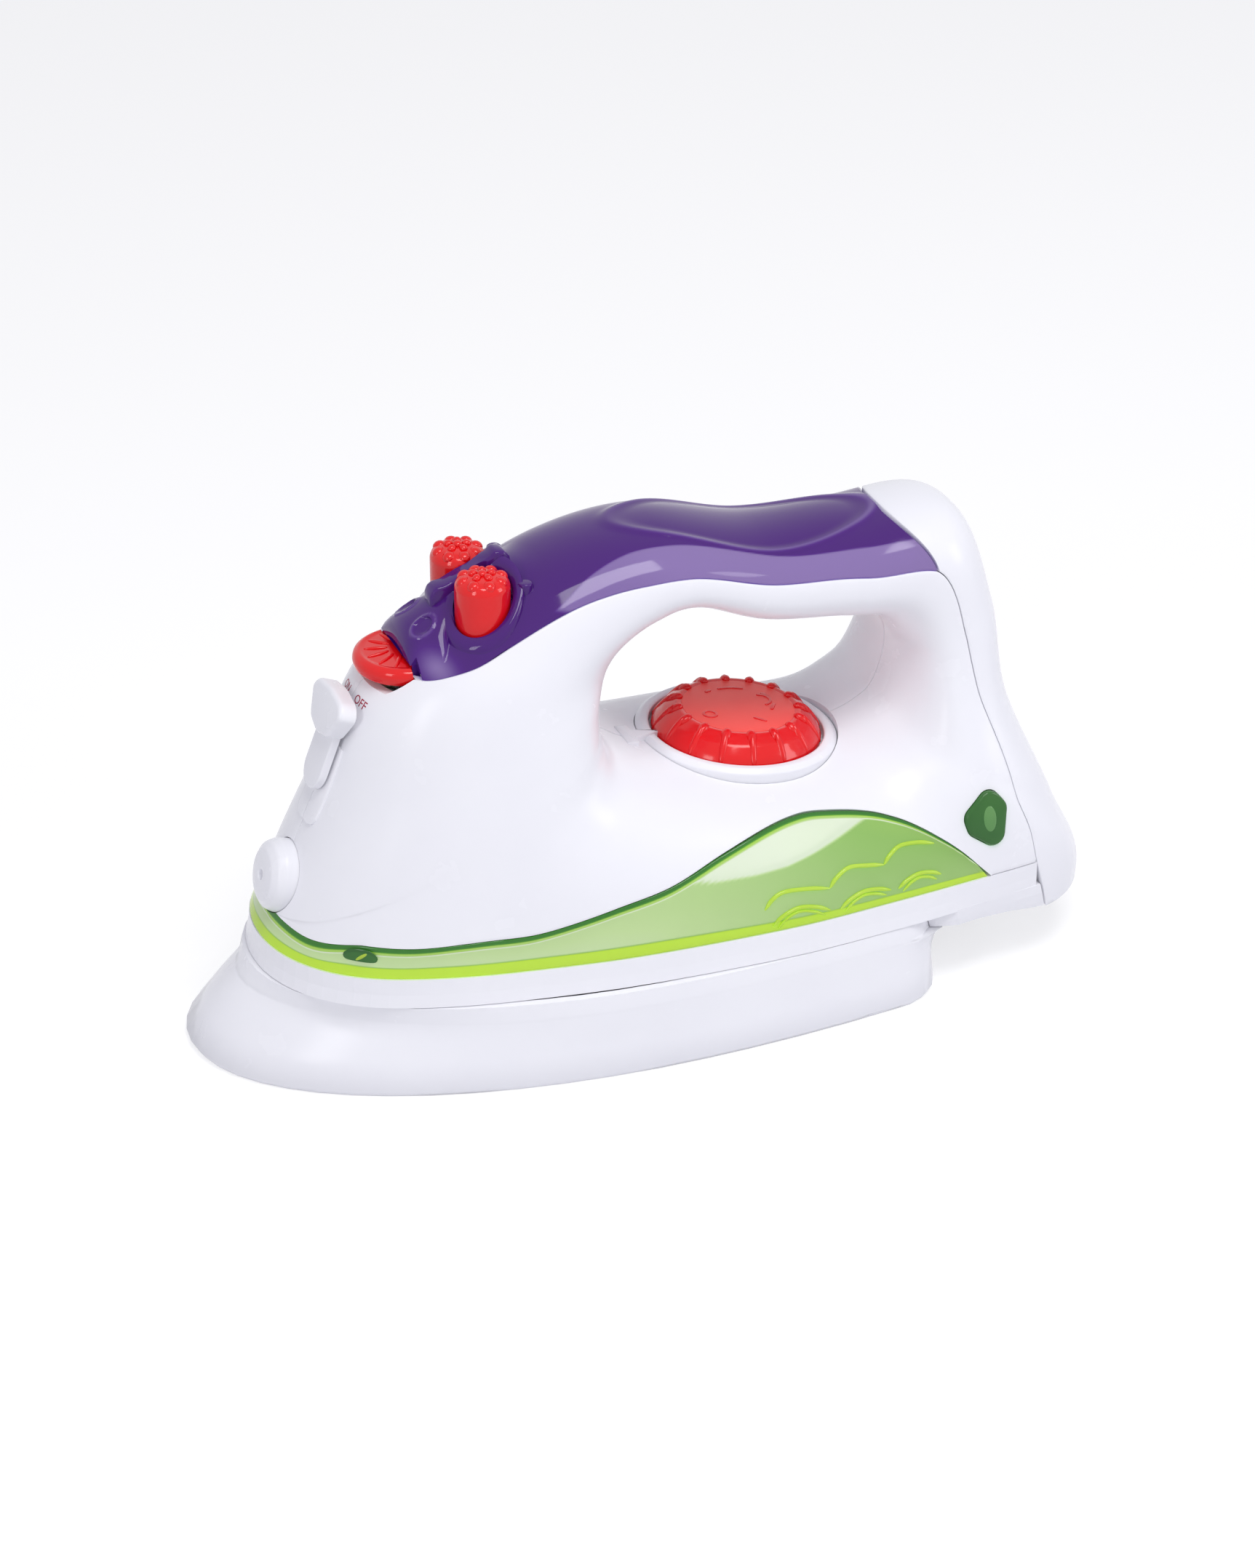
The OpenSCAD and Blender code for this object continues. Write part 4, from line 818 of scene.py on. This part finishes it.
rear_ends = (11.92, 16.48)
rear_sheet = arch_sheet(REAR_EDGE, rear_ends, (11.27, station_at(HEEL_Z, 16.9, 15.5)))
rear = shell_piece("rear_cover_shell", rear_sheet, np.linspace(*rear_ends, 150), 90, WALL, RIM, white_abs,
                   ends=0.004)
fixed(rear, BODY, "white_abs", "rear_cover")


# Handle cover with its hood, the two button collars and the ridge between them
def collar(side):
    """Raised collar round a button, its rim sloping outwards and forwards, with painted highlight lines on
    its rims.
    """
    def rim(x, y):
        return BUTTON_DECK + 0.8 + 0.577 * (x - BUTTON_X) - 0.588 * (side * y - BUTTON_Y)
    # Radius of each ring, its drop below the rim (None at the foot) and its painted highlight
    rings = ((9.7, None, 0), (9.35, 2.0, 0), (9.2, 0.9, 0.5), (8.95, 0.3, 0.7), (8.5, 0.0, 0.15),
             (7.6, 0.0, 0), (7.0, 0.25, 0.4), (6.7, 0.7, 0.2), (6.65, None, 0))
    around, foot, lowest = 96, 93.03, 93.6
    points = []
    for r, drop, light in rings:
        for a in full_turn(around):
            x, y = BUTTON_X + r * math.cos(a), side * BUTTON_Y + r * math.sin(a)
            points.append((x, y, foot if drop is None else max(lowest, rim(x, y) - drop)))
    made = piece_from("collar", points, bands(len(rings), around, True), violet_clear)
    # The third column paints highlight lines on the rims, through the violet's ramp
    set_mark(made, np.repeat([light for r, drop, light in rings], around))
    return tidy_mesh(made)


def rounded(obj, width, steps=3, angle=35):
    """Rounds the sharp edges of a piece."""
    m = obj.modifiers.new("round", "BEVEL")
    m.width, m.segments = width * MM, steps
    m.limit_method, m.angle_limit = "ANGLE", math.radians(angle)
    applied(obj)
    shade(obj.data)
    return obj


def past_oval(points):
    """Distance beyond the edge of the thumb oval on top of the cover."""
    return (np.hypot((points[..., 0] - 27.3) / 32.5, points[..., 1] / 12.4) - 1) * 12.4


def past_dimple(points):
    """Distance beyond the edge of the nearer dimple on the hood."""
    return (np.hypot((points[..., 0] + 51.4) / 2.5, (np.abs(points[..., 1]) - 5.2) / 2.1) - 1) * 2.3


def cover_relief(points):
    """Shallow thumb oval with a bead on its edge, and two ringed dimples on the hood."""
    x, z = points[..., 0], points[..., 2]
    away, ring = past_oval(points), past_dimple(points)
    made = smooth(85, 95, z) * (0.45 * np.exp(-(away / 0.8) ** 2) - 0.35 * smooth(0.2, -2.0, away))
    dimple = 0.5 * np.exp(-(ring / 0.45) ** 2) - 0.45 * smooth(-0.2, -0.9, ring)
    return made + smooth(-46.5, -48.0, x) * dimple


def cover_seat_and_painted_light(s, t, points):
    """Painted light on the cover: the white seat under it, which is really there, painted as lit and showing
    through, a painted highlight line on the thumb oval's edge, a painted pale glow on the hood's sides and
    painted highlights on the dimples' rims.
    """
    x, y, z = np.moveaxis(points, -1, 0)
    edge = angle_of(trim_at(COVER_EDGE, s) + share_of(s, SEAM))
    phi = 180 - np.abs(2 * t - 1) * (180 - edge)
    # The real white seat, painted as lit where it shows through the cover, lighter towards the rear
    seat = smooth(1.0, -1.0, phi - angle_of(trim_at(FLANGE_EDGE, np.clip(s, 6.9, 11.6))))
    seat = seat * smooth(7.62, 7.72, s) * (0.82 + 0.18 * smooth(8.0, 9.2, s))
    # Painted highlight line along the thumb oval's edge
    line = 0.55 * np.exp(-(past_oval(points) / 0.4) ** 2) * smooth(-8, 12, x) * smooth(95, 100, z)
    # Painted pale glow low on the hood's sides, standing in for light seen through the cover
    painted_glow = 0.85 * np.exp(-((x + 51.2) / 3.0) ** 2 - ((z - 93.6) / 2.6) ** 2) * smooth(6, 9, np.abs(y))
    # Painted highlights on the dimples' rims
    ring = 0.4 * np.exp(-((past_dimple(points) - 0.3) / 0.3) ** 2) * smooth(-46.5, -48.0, x)
    return np.maximum(np.maximum(seat, ring), np.maximum(line, painted_glow))


cover_rows = rows_of((6.22, 7.0, 110), (7.01, 11.88, 240))
cover_sheet = arch_sheet(COVER_EDGE, (6.22, 11.88), (6.22, 11.23), hood)
cover = shell_piece("handle_cover_shell", cover_sheet, cover_rows, 130, CLEAR_WALL, 0.3, violet_clear,
                    relief=cover_relief, ends=0.004, mark=cover_seat_and_painted_light)
ridge_side = np.array([
    (-10.3, -7), (-10.2, 0.4), (-9.6, 1.9), (-8.4, 2.6), (-6.6, 2.8), (0.5, 6.1), (4.2, 7.9), (5.3, 9.1),
    (7.6, 8.8), (8.8, 7.2), (10, 2), (10, -2)]) + (BUTTON_X, BUTTON_DECK)
ridge = rounded(extruded("ridge", ridge_side, -2.4, 2.4, violet_clear), 0.8)
added = [collar(-1), collar(1), placed(ridge, over_y)]
for side in (-1, 1):
    lug = lathe("lug", [(0, -2), (1.7, -2), (1.7, 4.4), (0, 4.4)], violet_clear, 32, 0.6)
    added.append(placed(lug, Matrix.Translation((BUTTON_X + 9.4, side * (BUTTON_Y + 2), BUTTON_DECK))))
for extra in added:
    solid_step(cover, extra, "UNION")
    applied(cover)
    bpy.data.objects.remove(extra)
# The hood's front edge runs back a little at both sides
cut(cover, *[button_hole(BUTTON_D / 2 + BUTTON_GAP, 80, 130, s) for s in (-1, 1)], disc_pocket(BUTTON_GAP),
    box_cutter((-120, -50, 0), (HOOD_FRONT + 0.35, 50, 200)),
    *[box_cutter((-120, s * 40 - 30.1, 0), (HOOD_FRONT + 1.8, s * 40 + 30.1, 200)) for s in (-1, 1)],
    sharp=38)
fixed(cover, BODY, "violet_clear", "handle_cover")

# Window round the tank
window_nose = station_at(PART_Z + SEAM, 3, 4)
W0, W1 = WINDOW_REAR + 0.04, WINDOW_FRONT


def window_sheet(s, t, inset):
    k = np.minimum(s, 2 - s)
    ua = W1 - (W1 - W0) * (1 - k) ** 1.7
    ub = W0 + (window_nose - W0) * (ua - W0) / (W1 - W0)
    pa = angle_of(trim_at(WINDOW_EDGE, ua) + share_of(ua, SEAM))
    pb = angle_of(cut_share(ub, PART_Z + SEAM))
    phi = pa + (pb - pa) * t
    return skin(ua + (ub - ua) * t, np.where(s > 1, 360 - phi, phi), inset)


UPPER_WAVES = [[(15.3, 33.3), (17.3, 35.4), (20.4, 36.6), (26.5, 36.1), (31.8, 35.0)],
               [(31.8, 35.0), (33.6, 36.8), (37.2, 38.3), (42.2, 37.6), (46.4, 36.8)],
               [(46.4, 36.8), (48.2, 38.4), (51.2, 39.7), (56.0, 39.4), (60.0, 38.4)]]
LOWER_WAVES = [[(17.2, 28.9), (19.6, 30.9), (23.6, 32.2), (28.1, 31.4), (31.6, 29.8)],
               [(34.3, 29.4), (36.9, 31.1), (40.5, 32.1), (44.4, 31.7), (47.6, 30.7)],
               [(49.6, 30.5), (52.0, 31.9), (55.2, 32.7), (58.6, 32.2), (61.0, 31.2)]]
# Lower edge of the painted pale reflection on the window, as (x, z)
REFLECTION_EDGE = np.array([(-9, 46), (-6, 43.2), (4, 41.3), (14, 41.2), (22, 41.7), (29, 42.9), (37.5, 44.6),
                  (45.5, 46.4), (51, 46.7), (60, 47)])


def window_mark(s, t, points):
    """Zones of the window: dark upper rim, a painted pale reflection on the upper part, green lower part,
    darker towards the rear, and a painted bright rim of light along the bottom.
    """
    x, z = points[..., 0], points[..., 2]
    arc = np.cumsum(np.linalg.norm(np.diff(points, axis=1, prepend=points[:, :1]), axis=-1), axis=1)
    whole = arc[:, -1:]
    green = 0.5 + 0.2 * smooth(-30, 55, x) - 0.06 * smooth(0, 1, arc / whole)
    # Painted reflection: pale above that edge, green below it
    made = green + (0.33 - green) * smooth(-0.35, 0.35, z - np.interp(x, *REFLECTION_EDGE.T))
    upper = np.minimum(1.0, whole * 0.25)
    made = made + (0.19 - made) * smooth(2.1 * upper, 1.5 * upper, arc)
    made = made * smooth(0.55 * upper, 1.15 * upper, arc)
    lower = np.minimum(2.9 - 1.3 * smooth(-20, 50, x), whole * 0.35)
    # Painted light: a bright rim along the bottom edge
    return made + (0.93 - made) * smooth(lower * 1.15, lower * 0.85, whole - arc)


window_rows = np.concatenate([np.linspace(0, 1, 170), np.linspace(1, 2, 170)[1:]])
window = shell_piece("tank_window_shell", window_sheet, window_rows, 90, CLEAR_WALL, RIM, lime_clear,
                     ends=0.001, mark=window_mark)
cut(window, cylinder(NOZZLE_D / 2 + SEAM, -20, 20, at_nozzle),
    box_cutter((-150, -60, 0), (150, 60, PART_Z + SEAM / 2)))
fixed(window, BODY, "lime_clear", "tank_window")
window_tree = tree_of(window)


def on_window(x, z, out=0.0):
    """Point of the window's near side."""
    hit, normal = window_tree.ray_cast(Vector((x, -80, z)), Vector((0, 1, 0)))[:2]
    return np.array(hit + normal * (out if normal.y < 0 else -out))


def tube(name, path, radius, finish, sides=12):
    """Round bead along a path, thinner towards its ends."""
    p = np.asarray(path, float)
    way = unit(np.gradient(p, axis=0))
    over = unit(np.cross(way, (0, -1, 0.25)))
    up = np.cross(over, way)
    n = len(p)
    r = radius * np.sqrt(np.clip(np.minimum(np.arange(n) + 0.3, n - 0.7 - np.arange(n)) / 4, 0.05, 1))
    turn = full_turn(sides)[None, :, None]
    rings = p[:, None] + r[:, None, None] * (np.cos(turn) * over[:, None] + np.sin(turn) * up[:, None])
    faces = bands(n, sides)
    faces += [list(range(sides))[::-1], [(n - 1) * sides + j for j in range(sides)]]
    return tidy_mesh(piece_from(name, rings.reshape(-1, 3), faces, finish))


def flowing(points, count=26):
    """Smooth curve through points."""
    p = np.asarray(points, float)
    line = np.stack([np.arange(len(p)), np.zeros(len(p))], 1)
    u = np.linspace(0, len(p) - 1, count)
    made = []
    for axis in range(p.shape[1]):
        line[:, 1] = p[:, axis]
        made.append(trim_at(line, u))
    return np.stack(made, 1)


def wave_bead(points, drop, out, radius):
    path = [on_window(x, z - drop, out) for x, z in flowing(points)]
    return tube("wave", path, radius, lime_bead)


DRAW_IN = (1.2, 0.72, 0, -0.72, -1.2)
waves = [wave_bead(w, 0, 0.12, 0.5) for w in UPPER_WAVES + LOWER_WAVES]
waves += [wave_bead([(x + k, z) for k, (x, z) in zip(DRAW_IN, w)], 0.95, 0.1, 0.36) for w in LOWER_WAVES]
near = joined(*waves)
near.name = near.data.name = "window_waves_left"
on_both_sides(near, "window_waves_right")


def window_spot(name, x, z, size, finish, out=0.0, turn=0.0):
    """Flat oval on the near side of the window."""
    at = on_window(x, z, out)
    a, b = on_window(x - 0.6, z), on_window(x + 0.6, z)
    lean = math.degrees(math.atan2(b[1] - a[1], b[0] - a[0]))
    return placed(bead(name, size, finish, (0, 0, 0), turn), Matrix.Translation(at) @ turned("Z", lean))


spot = window_spot("window_post_left", -75.75, 32.0, (4.1, 0.4, 2.1), green_clear)
on_both_sides(spot, "window_post_right")
# Painted highlight: a small bright oval on the dark post
post_highlight = window_spot("window_post_shine_left", -75.5, 32.1, (1.8, 0.3, 0.5), lime_bead, 0.25, -35.0)
on_both_sides(post_highlight, "window_post_shine_right")


# Base, sole and battery door: the CAD forms with merged points and smooth faces
def smooth_copy(node, name, finish, even, sharp):
    """Copy of a CAD node, its shading evened by the area of its faces where asked."""
    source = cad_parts[node]
    mesh = source.data.copy()
    mesh.transform(source.matrix_world)
    mesh.materials.clear()
    mesh.materials.append(finish)
    obj = new_object(name, mesh)
    tidy_mesh(obj, 0.004, sharp)
    if even:
        obj.modifiers.new("even_shading", "WEIGHTED_NORMAL").keep_sharp = True
        applied(obj)
    return obj


for node, even, sharp in (("base_housing", True, 10), ("sole_plate", False, 32),
                          ("battery_door", False, 32)):
    fixed(smooth_copy(node, node + "_form", white_abs, even, sharp), BODY, "white_abs", node)


# Turned pieces
def repeat_round(obj, count, radius):
    """Copies of a piece round a circle, by Geometry Nodes."""
    tree = bpy.data.node_groups.new("repeat_round", "GeometryNodeTree")
    sockets = {}
    for key, kind in (("Piece", "Geometry"), ("Count", "Int"), ("Radius", "Float")):
        socket = tree.interface.new_socket(key, in_out="INPUT", socket_type="NodeSocket" + kind)
        sockets[key] = socket.identifier
    tree.interface.new_socket("Result", in_out="OUTPUT", socket_type="NodeSocketGeometry")
    nodes = tree.nodes
    came, gone = nodes.new("NodeGroupInput"), nodes.new("NodeGroupOutput")
    circle = nodes.new("GeometryNodeMeshCircle")
    wire(came, "Count", circle, "Vertices")
    wire(came, "Radius", circle, "Radius")
    share = add(nodes, "ShaderNodeMath", operation="DIVIDE")
    wire(nodes.new("GeometryNodeInputIndex"), 0, share, 0)
    wire(came, "Count", share, 1)
    turn = add(nodes, "ShaderNodeMath", (1, 2 * math.pi), operation="MULTIPLY")
    wire(share, 0, turn, 0)
    angles = nodes.new("ShaderNodeCombineXYZ")
    wire(turn, 0, angles, "Z")
    spread = nodes.new("GeometryNodeInstanceOnPoints")
    wire(circle, "Mesh", spread, "Points")
    wire(came, "Piece", spread, "Instance")
    wire(angles, 0, spread, "Rotation")
    real = nodes.new("GeometryNodeRealizeInstances")
    wire(spread, "Instances", real, "Geometry")
    paint = add(nodes, "GeometryNodeSetMaterial", ("Material", obj.data.materials[0]))
    wire(real, "Geometry", paint, "Geometry")
    wire(paint, "Geometry", gone, "Result")
    m = obj.modifiers.new("repeat", "NODES")
    m.node_group = tree
    m[sockets["Count"]] = count
    m[sockets["Radius"]] = radius * MM
    return applied(obj)


def studs(count, radius, size, height, turn):
    """Ring of red bumps, all of one size."""
    return repeat_round(bead("stud", size, red_abs, (0, 0, height), turn), count, radius)


dial_seat = on_deck @ Matrix.Translation((0, 0, DIAL_FOOT))
dial = lathe("dial_knob", [(0, 0), (20, 0), (20, 1.6), (19.1, 3.15), (17.4, 5.25), (15.8, 6.2), (14.4, 7),
                           (13.2, 6.75), (0, 6.75)], red_abs, 160, 0.5)
joined(dial, studs(DIAL_RIBS, 14.9, (1.9, 1.25, 1.15), 6.3, 32),
       studs(DIAL_RIBS, 17.6, (4.0, 0.95, 0.95), 4.2, 52))
fixed(placed(dial, dial_seat @ turned("Z", 11.25)), "dial_body", "red_abs", "dial")
face = lathe("dial_face", [(0, 6.2), (13.3, 6.2), (13.3, 6.86), (0, 6.86)], red_face, 120, 0.1)
fixed(placed(face, dial_seat), "dial_body", "red_abs")
MARK_FOOT, MARK_TOP = 6.5, 7.05


def stroke(points, width):
    """Raised line through points (x, y) of the dial's face, with round ends."""
    p = np.asarray(points, float)
    way = unit(np.gradient(p, axis=0))
    side = np.stack([-way[:, 1], way[:, 0]], 1) * width / 2
    turn = np.linspace(math.pi / 2, -math.pi / 2, 9)[1:-1, None]
    cap = lambda k, sign: p[k] + sign * (np.cos(turn) * way[k] * width / 2 + np.sin(turn) * side[k] * sign)
    outline = np.concatenate([p + side, cap(-1, 1), (p - side)[::-1], cap(0, -1)[::-1]])
    return extruded("stroke", outline, MARK_FOOT, MARK_TOP, red_abs, 0.15)


def arc(radius, a, b, count=14, centre=(0, 0)):
    return [(centre[0] + radius * math.cos(c), centre[1] + radius * math.sin(c))
            for c in np.radians(np.linspace(a, b, count))]


marks = joined(*[stroke(line, width) for line, width in (
    (arc(9.4, 62, 96), 0.8), (arc(9.6, 112, 118, 4), 0.9), (arc(9.4, 20, 30, 4), 0.9),
    ([(7.2, -3.2), (8.6, -1.2)], 0.9), ([(1.5, -6.6), (3.2, -8.6)], 0.9),
    (arc(2.6, -75, 75, 14, (6.2, 1.8)), 0.8), (arc(1.5, -180, 170, 24, (-8.2, -2.6)), 0.7))])
marks.name = "dial_marks"
fixed(placed(marks, dial_seat), "dial_body", "red_abs")

ring = lathe("dial_ring_body", [(20.6, -1.2), (20.6, 1.15), (21.2, 1.4), (22.55, 1.4), (23.75, 0.4),
                                (23.75, -3.15), (4.1, -3.15), (4.1, -1.2), (20.6, -1.2)],
             white_abs, 160, 0.35)
arrow = round_outline([(-29.25, -4.5), (-26.25, -4.5), (-26.25, -2.2), (-19.75, 0), (-26.25, 2.2),
                       (-26.25, 4.5), (-29.25, 4.5)], 0.4, 3)
joined(ring, extruded("arrow", arrow, -0.2, 2.0, white_abs, 0.35))
fixed(placed(ring, on_deck), BODY, "white_abs", "dial_ring")

for side, node in ((-1, "button_left"), (1, "button_right")):
    key = lathe(node + "_key", [(0, -13.4), (7.8, -13.4), (7.8, -11.9), (6.3, -11.9), (6.3, 4.5), (5.7, 5.9),
                                (4.3, 6.8), (0, 7.3)], red_abs, 80, 0.6)
    joined(key, studs(8, 4.55, (1.5, 1.45, 1.15), 6.0, 30), studs(5, 2.2, (1.1, 0.95, 0.9), 7.05, 10),
           bead("pip", (1.2, 1.2, 0.85), red_abs, (0, 0, 7.25)))
    placed(key, Matrix.Translation((BUTTON_X, side * BUTTON_Y, BUTTON_DECK)))
    fixed(key, node + "_body", "red_abs", node)

disc = lathe("front_button_disc", [(0, 0), (10.6, 0), (11.6, 0.7), (12, 2.3), (11.6, 3.6), (10.4, 4.4),
                                   (9.4, 4.1), (0, 4.6)], red_abs, 120, 0.5)
at_disc = Matrix.Translation((DISC_X, 0, DISC_Z))
placed(disc, at_disc)
side_cuts = [box_cutter((HOOD_FRONT + 0.4, s * 20 - 10.5, 80), (0, s * 20 + 10.5, 100)) for s in (-1, 1)]
cut(disc, *side_cuts, box_cutter((DISC_X + DISC_REAR, -30, 80), (0, 30, 100)))
rays = placed(studs(14, 6.6, (2.7, 0.55, 0.4), 4.3, 3), at_disc @ turned("Z", 6))
stalk = box_cutter((-52, -5, PIVOT_Z), (-46.8, 5, PIVOT_Z + 3.1))
at_pivot = Matrix.Translation((PIVOT_X, 0, PIVOT_Z)) @ over_y
pins = [placed(lathe(name, [(0, -half), (r, -half), (r, half), (0, half)], red_abs, 32), at_pivot)
        for name, r, half in (("hub", 3, 5), ("axle", 1.5, 9))]
joined(disc, rays, stalk, *pins)
fixed(disc, "front_button_body", "red_abs", "front_button")

nozzle = lathe("spray_nozzle_tip", [(0, -8), (8.5, -8), (8.5, 1.0), (7.7, 2.9), (5.9, 4.1), (3.5, 4.5),
                                    (1.2, 4.5), (1.2, 3), (0, 3)], white_abs, 96, 0.5)
fixed(placed(nozzle, at_nozzle), BODY, "white_abs", "spray_nozzle")

arm = round_outline([(-5, 15), (-5, -2), (-2.4, -5), (2.4, -5), (5, -2), (5, 15)], 2.6)
grip = round_outline([(-5.5, 9.5), (0, 8), (5.5, 9.5), (9.5, 16), (7.5, 18.5), (0, 19.5), (-7.5, 18.5),
                      (-9.5, 16)], 1.6)
lever = extruded("switch_lever_arm", arm, LEVER_LIFT, LEVER_LIFT + 1.8, white_abs, 0.4)
joined(lever, extruded("grip", grip, LEVER_LIFT, LEVER_LIFT + 4.2, white_abs, 1.1, 4),
       peg("pin", 2.0, -6, 1.5))
fixed(placed(lever, on_nose), "lever_body", "white_abs", "switch_lever")

for node, flip in (("lens_left", False), ("lens_right", True)):
    lens = extruded(node + "_plug", grown(LENS, 3.0), -3.5, 0.7, green_clear, 0.7, 4)
    joined(lens, extruded("foot", grown(LENS, 4.4), -4.7, -3.4, green_clear))
    # Painted highlight: a lighter green oval on the lens
    shine = bead(node + "_shine", (1.7, 3.2, 0.3), lens_highlight_green, (0.5, 0.1, 0.62))
    for made, replaced in ((lens, [node]), (shine, [])):
        placed(made, on_lens)
        if flip:
            flipped(made)
        fixed(made, BODY, "lime_clear", *replaced)

# Inside pieces keep the CAD shape
INSIDE = (
    (steel, "battery_door_screw board_screws button_board_screws lever_screw dial_washer dial_screw"
            " body_screws sole_screws battery_plates"),
    (spring_steel, "battery_springs button_spring_left button_spring_right front_button_spring"),
    (cell_wrap, "batteries"), (board_mask, "circuit_board button_board"), (lamp_clear, "lamp"),
    (speaker_black, "speaker"))
for finish, names in INSIDE:
    for name in names.split():
        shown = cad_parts[name].data.materials
        shown.clear()
        shown.append(finish)


# Stage, lamps and camera
def only_seen(nodes, seen, lit, target):
    """One shader as seen directly, in reflections or through clear pieces, and another for light."""
    path, both = nodes.new("ShaderNodeLightPath"), nodes.new("ShaderNodeMixShader")
    source, out = path, "Is Camera Ray"
    for ray in ("Is Glossy Ray", "Is Transmission Ray"):
        either = add(nodes, "ShaderNodeMath", operation="MAXIMUM")
        wire(source, out, either, 0)
        wire(path, ray, either, 1)
        source, out = either, 0
    wire(source, out, both, 0)
    wire(lit, 0, both, 1)
    wire(seen, 0, both, 2)
    wire(both, 0, target, "Surface")


world = bpy.data.worlds.new("studio")
world.use_nodes = True
bpy.context.scene.world = world
wn = world.node_tree.nodes
dim = wn["Background"]
set_inputs(dim, ("Color", (0.88, 0.88, 0.98, 1)), ("Strength", 0.47))
plain = add(wn, "ShaderNodeBackground", ("Color", (1, 1, 1, 1)), ("Strength", 1.0))
only_seen(wn, plain, dim, wn["World Output"])

floor_mat, fn, fs = finish_tree("pale_floor")
pale = ramp(fn, ((0.3, (0.8, 0.8, 0.82)), (0.7, (0.82, 0.82, 0.84))))
wire(noise(fn, fn.new("ShaderNodeTexCoord"), 6.0, 2.0), "Fac", pale, "Fac")
wire(pale, "Color", fs, "Base Color")
set_inputs(fs, ("Roughness", 0.8))
# The floor as seen: a white glow and a grey that takes the shadow
pale_sum = fn.new("ShaderNodeAddShader")
wire(add(fn, "ShaderNodeEmission", ("Strength", 0.6)), 0, pale_sum, 0)
wire(add(fn, "ShaderNodeBsdfDiffuse", ("Color", (0.5, 0.5, 0.5, 1))), 0, pale_sum, 1)
only_seen(fn, pale_sum, fs, fn["Material Output"])
floor = extruded("floor", [(-900, -900), (900, -900), (900, 900), (-900, 900)], -2.0, -0.02, floor_mat)


def lamp(name, place, target, size, power, color=(1, 1, 1)):
    data = bpy.data.lights.new(name, "AREA")
    data.shape = "RECTANGLE"
    data.size, data.size_y = size
    data.energy = power
    data.color = color
    obj = new_object(name, data)
    obj.location = place
    obj.rotation_euler = (Vector(target) - Vector(place)).to_track_quat("-Z", "Y").to_euler()


lamp("overhead_softbox", (0.05, -0.35, 0.9), (0, 0, 0.04), (0.5, 0.34), 4.0)
lamp("front_left", (-0.75, -0.5, 0.45), (0, 0, 0.05), (0.2, 0.42), 1.55)
lamp("right_fill", (0.8, -0.5, 0.4), (0, 0, 0.05), (0.3, 0.4), 1.6, (0.97, 0.97, 1.0))

# Camera fitted to the photograph: its size, focal length and target in pixels
PHOTO_W, PHOTO_H = 1725, 2156
FOCAL = 5900
TARGET_AT = (865, 1090)
camera = bpy.data.cameras.new("photo_camera")
camera.sensor_fit = "HORIZONTAL"
camera.sensor_width = 36.0
camera.lens = FOCAL / PHOTO_W * camera.sensor_width
camera.shift_x = (PHOTO_W / 2 - TARGET_AT[0]) / PHOTO_W
camera.shift_y = (TARGET_AT[1] - PHOTO_H / 2) / PHOTO_W
azimuth, elevation = math.radians(-22), math.radians(29.5)
flat = math.cos(elevation)
back = Vector((math.sin(azimuth) * flat, -math.cos(azimuth) * flat, math.sin(elevation)))
DISTANCE = 1.0
eye = new_object("photo_camera", camera)
eye.location = Vector((0, 0, 0.044)) + back * DISTANCE
eye.rotation_euler = (-back).to_track_quat("-Z", "Y").to_euler()
bpy.context.scene.camera = eye
bpy.context.scene.view_settings.view_transform = "Standard"
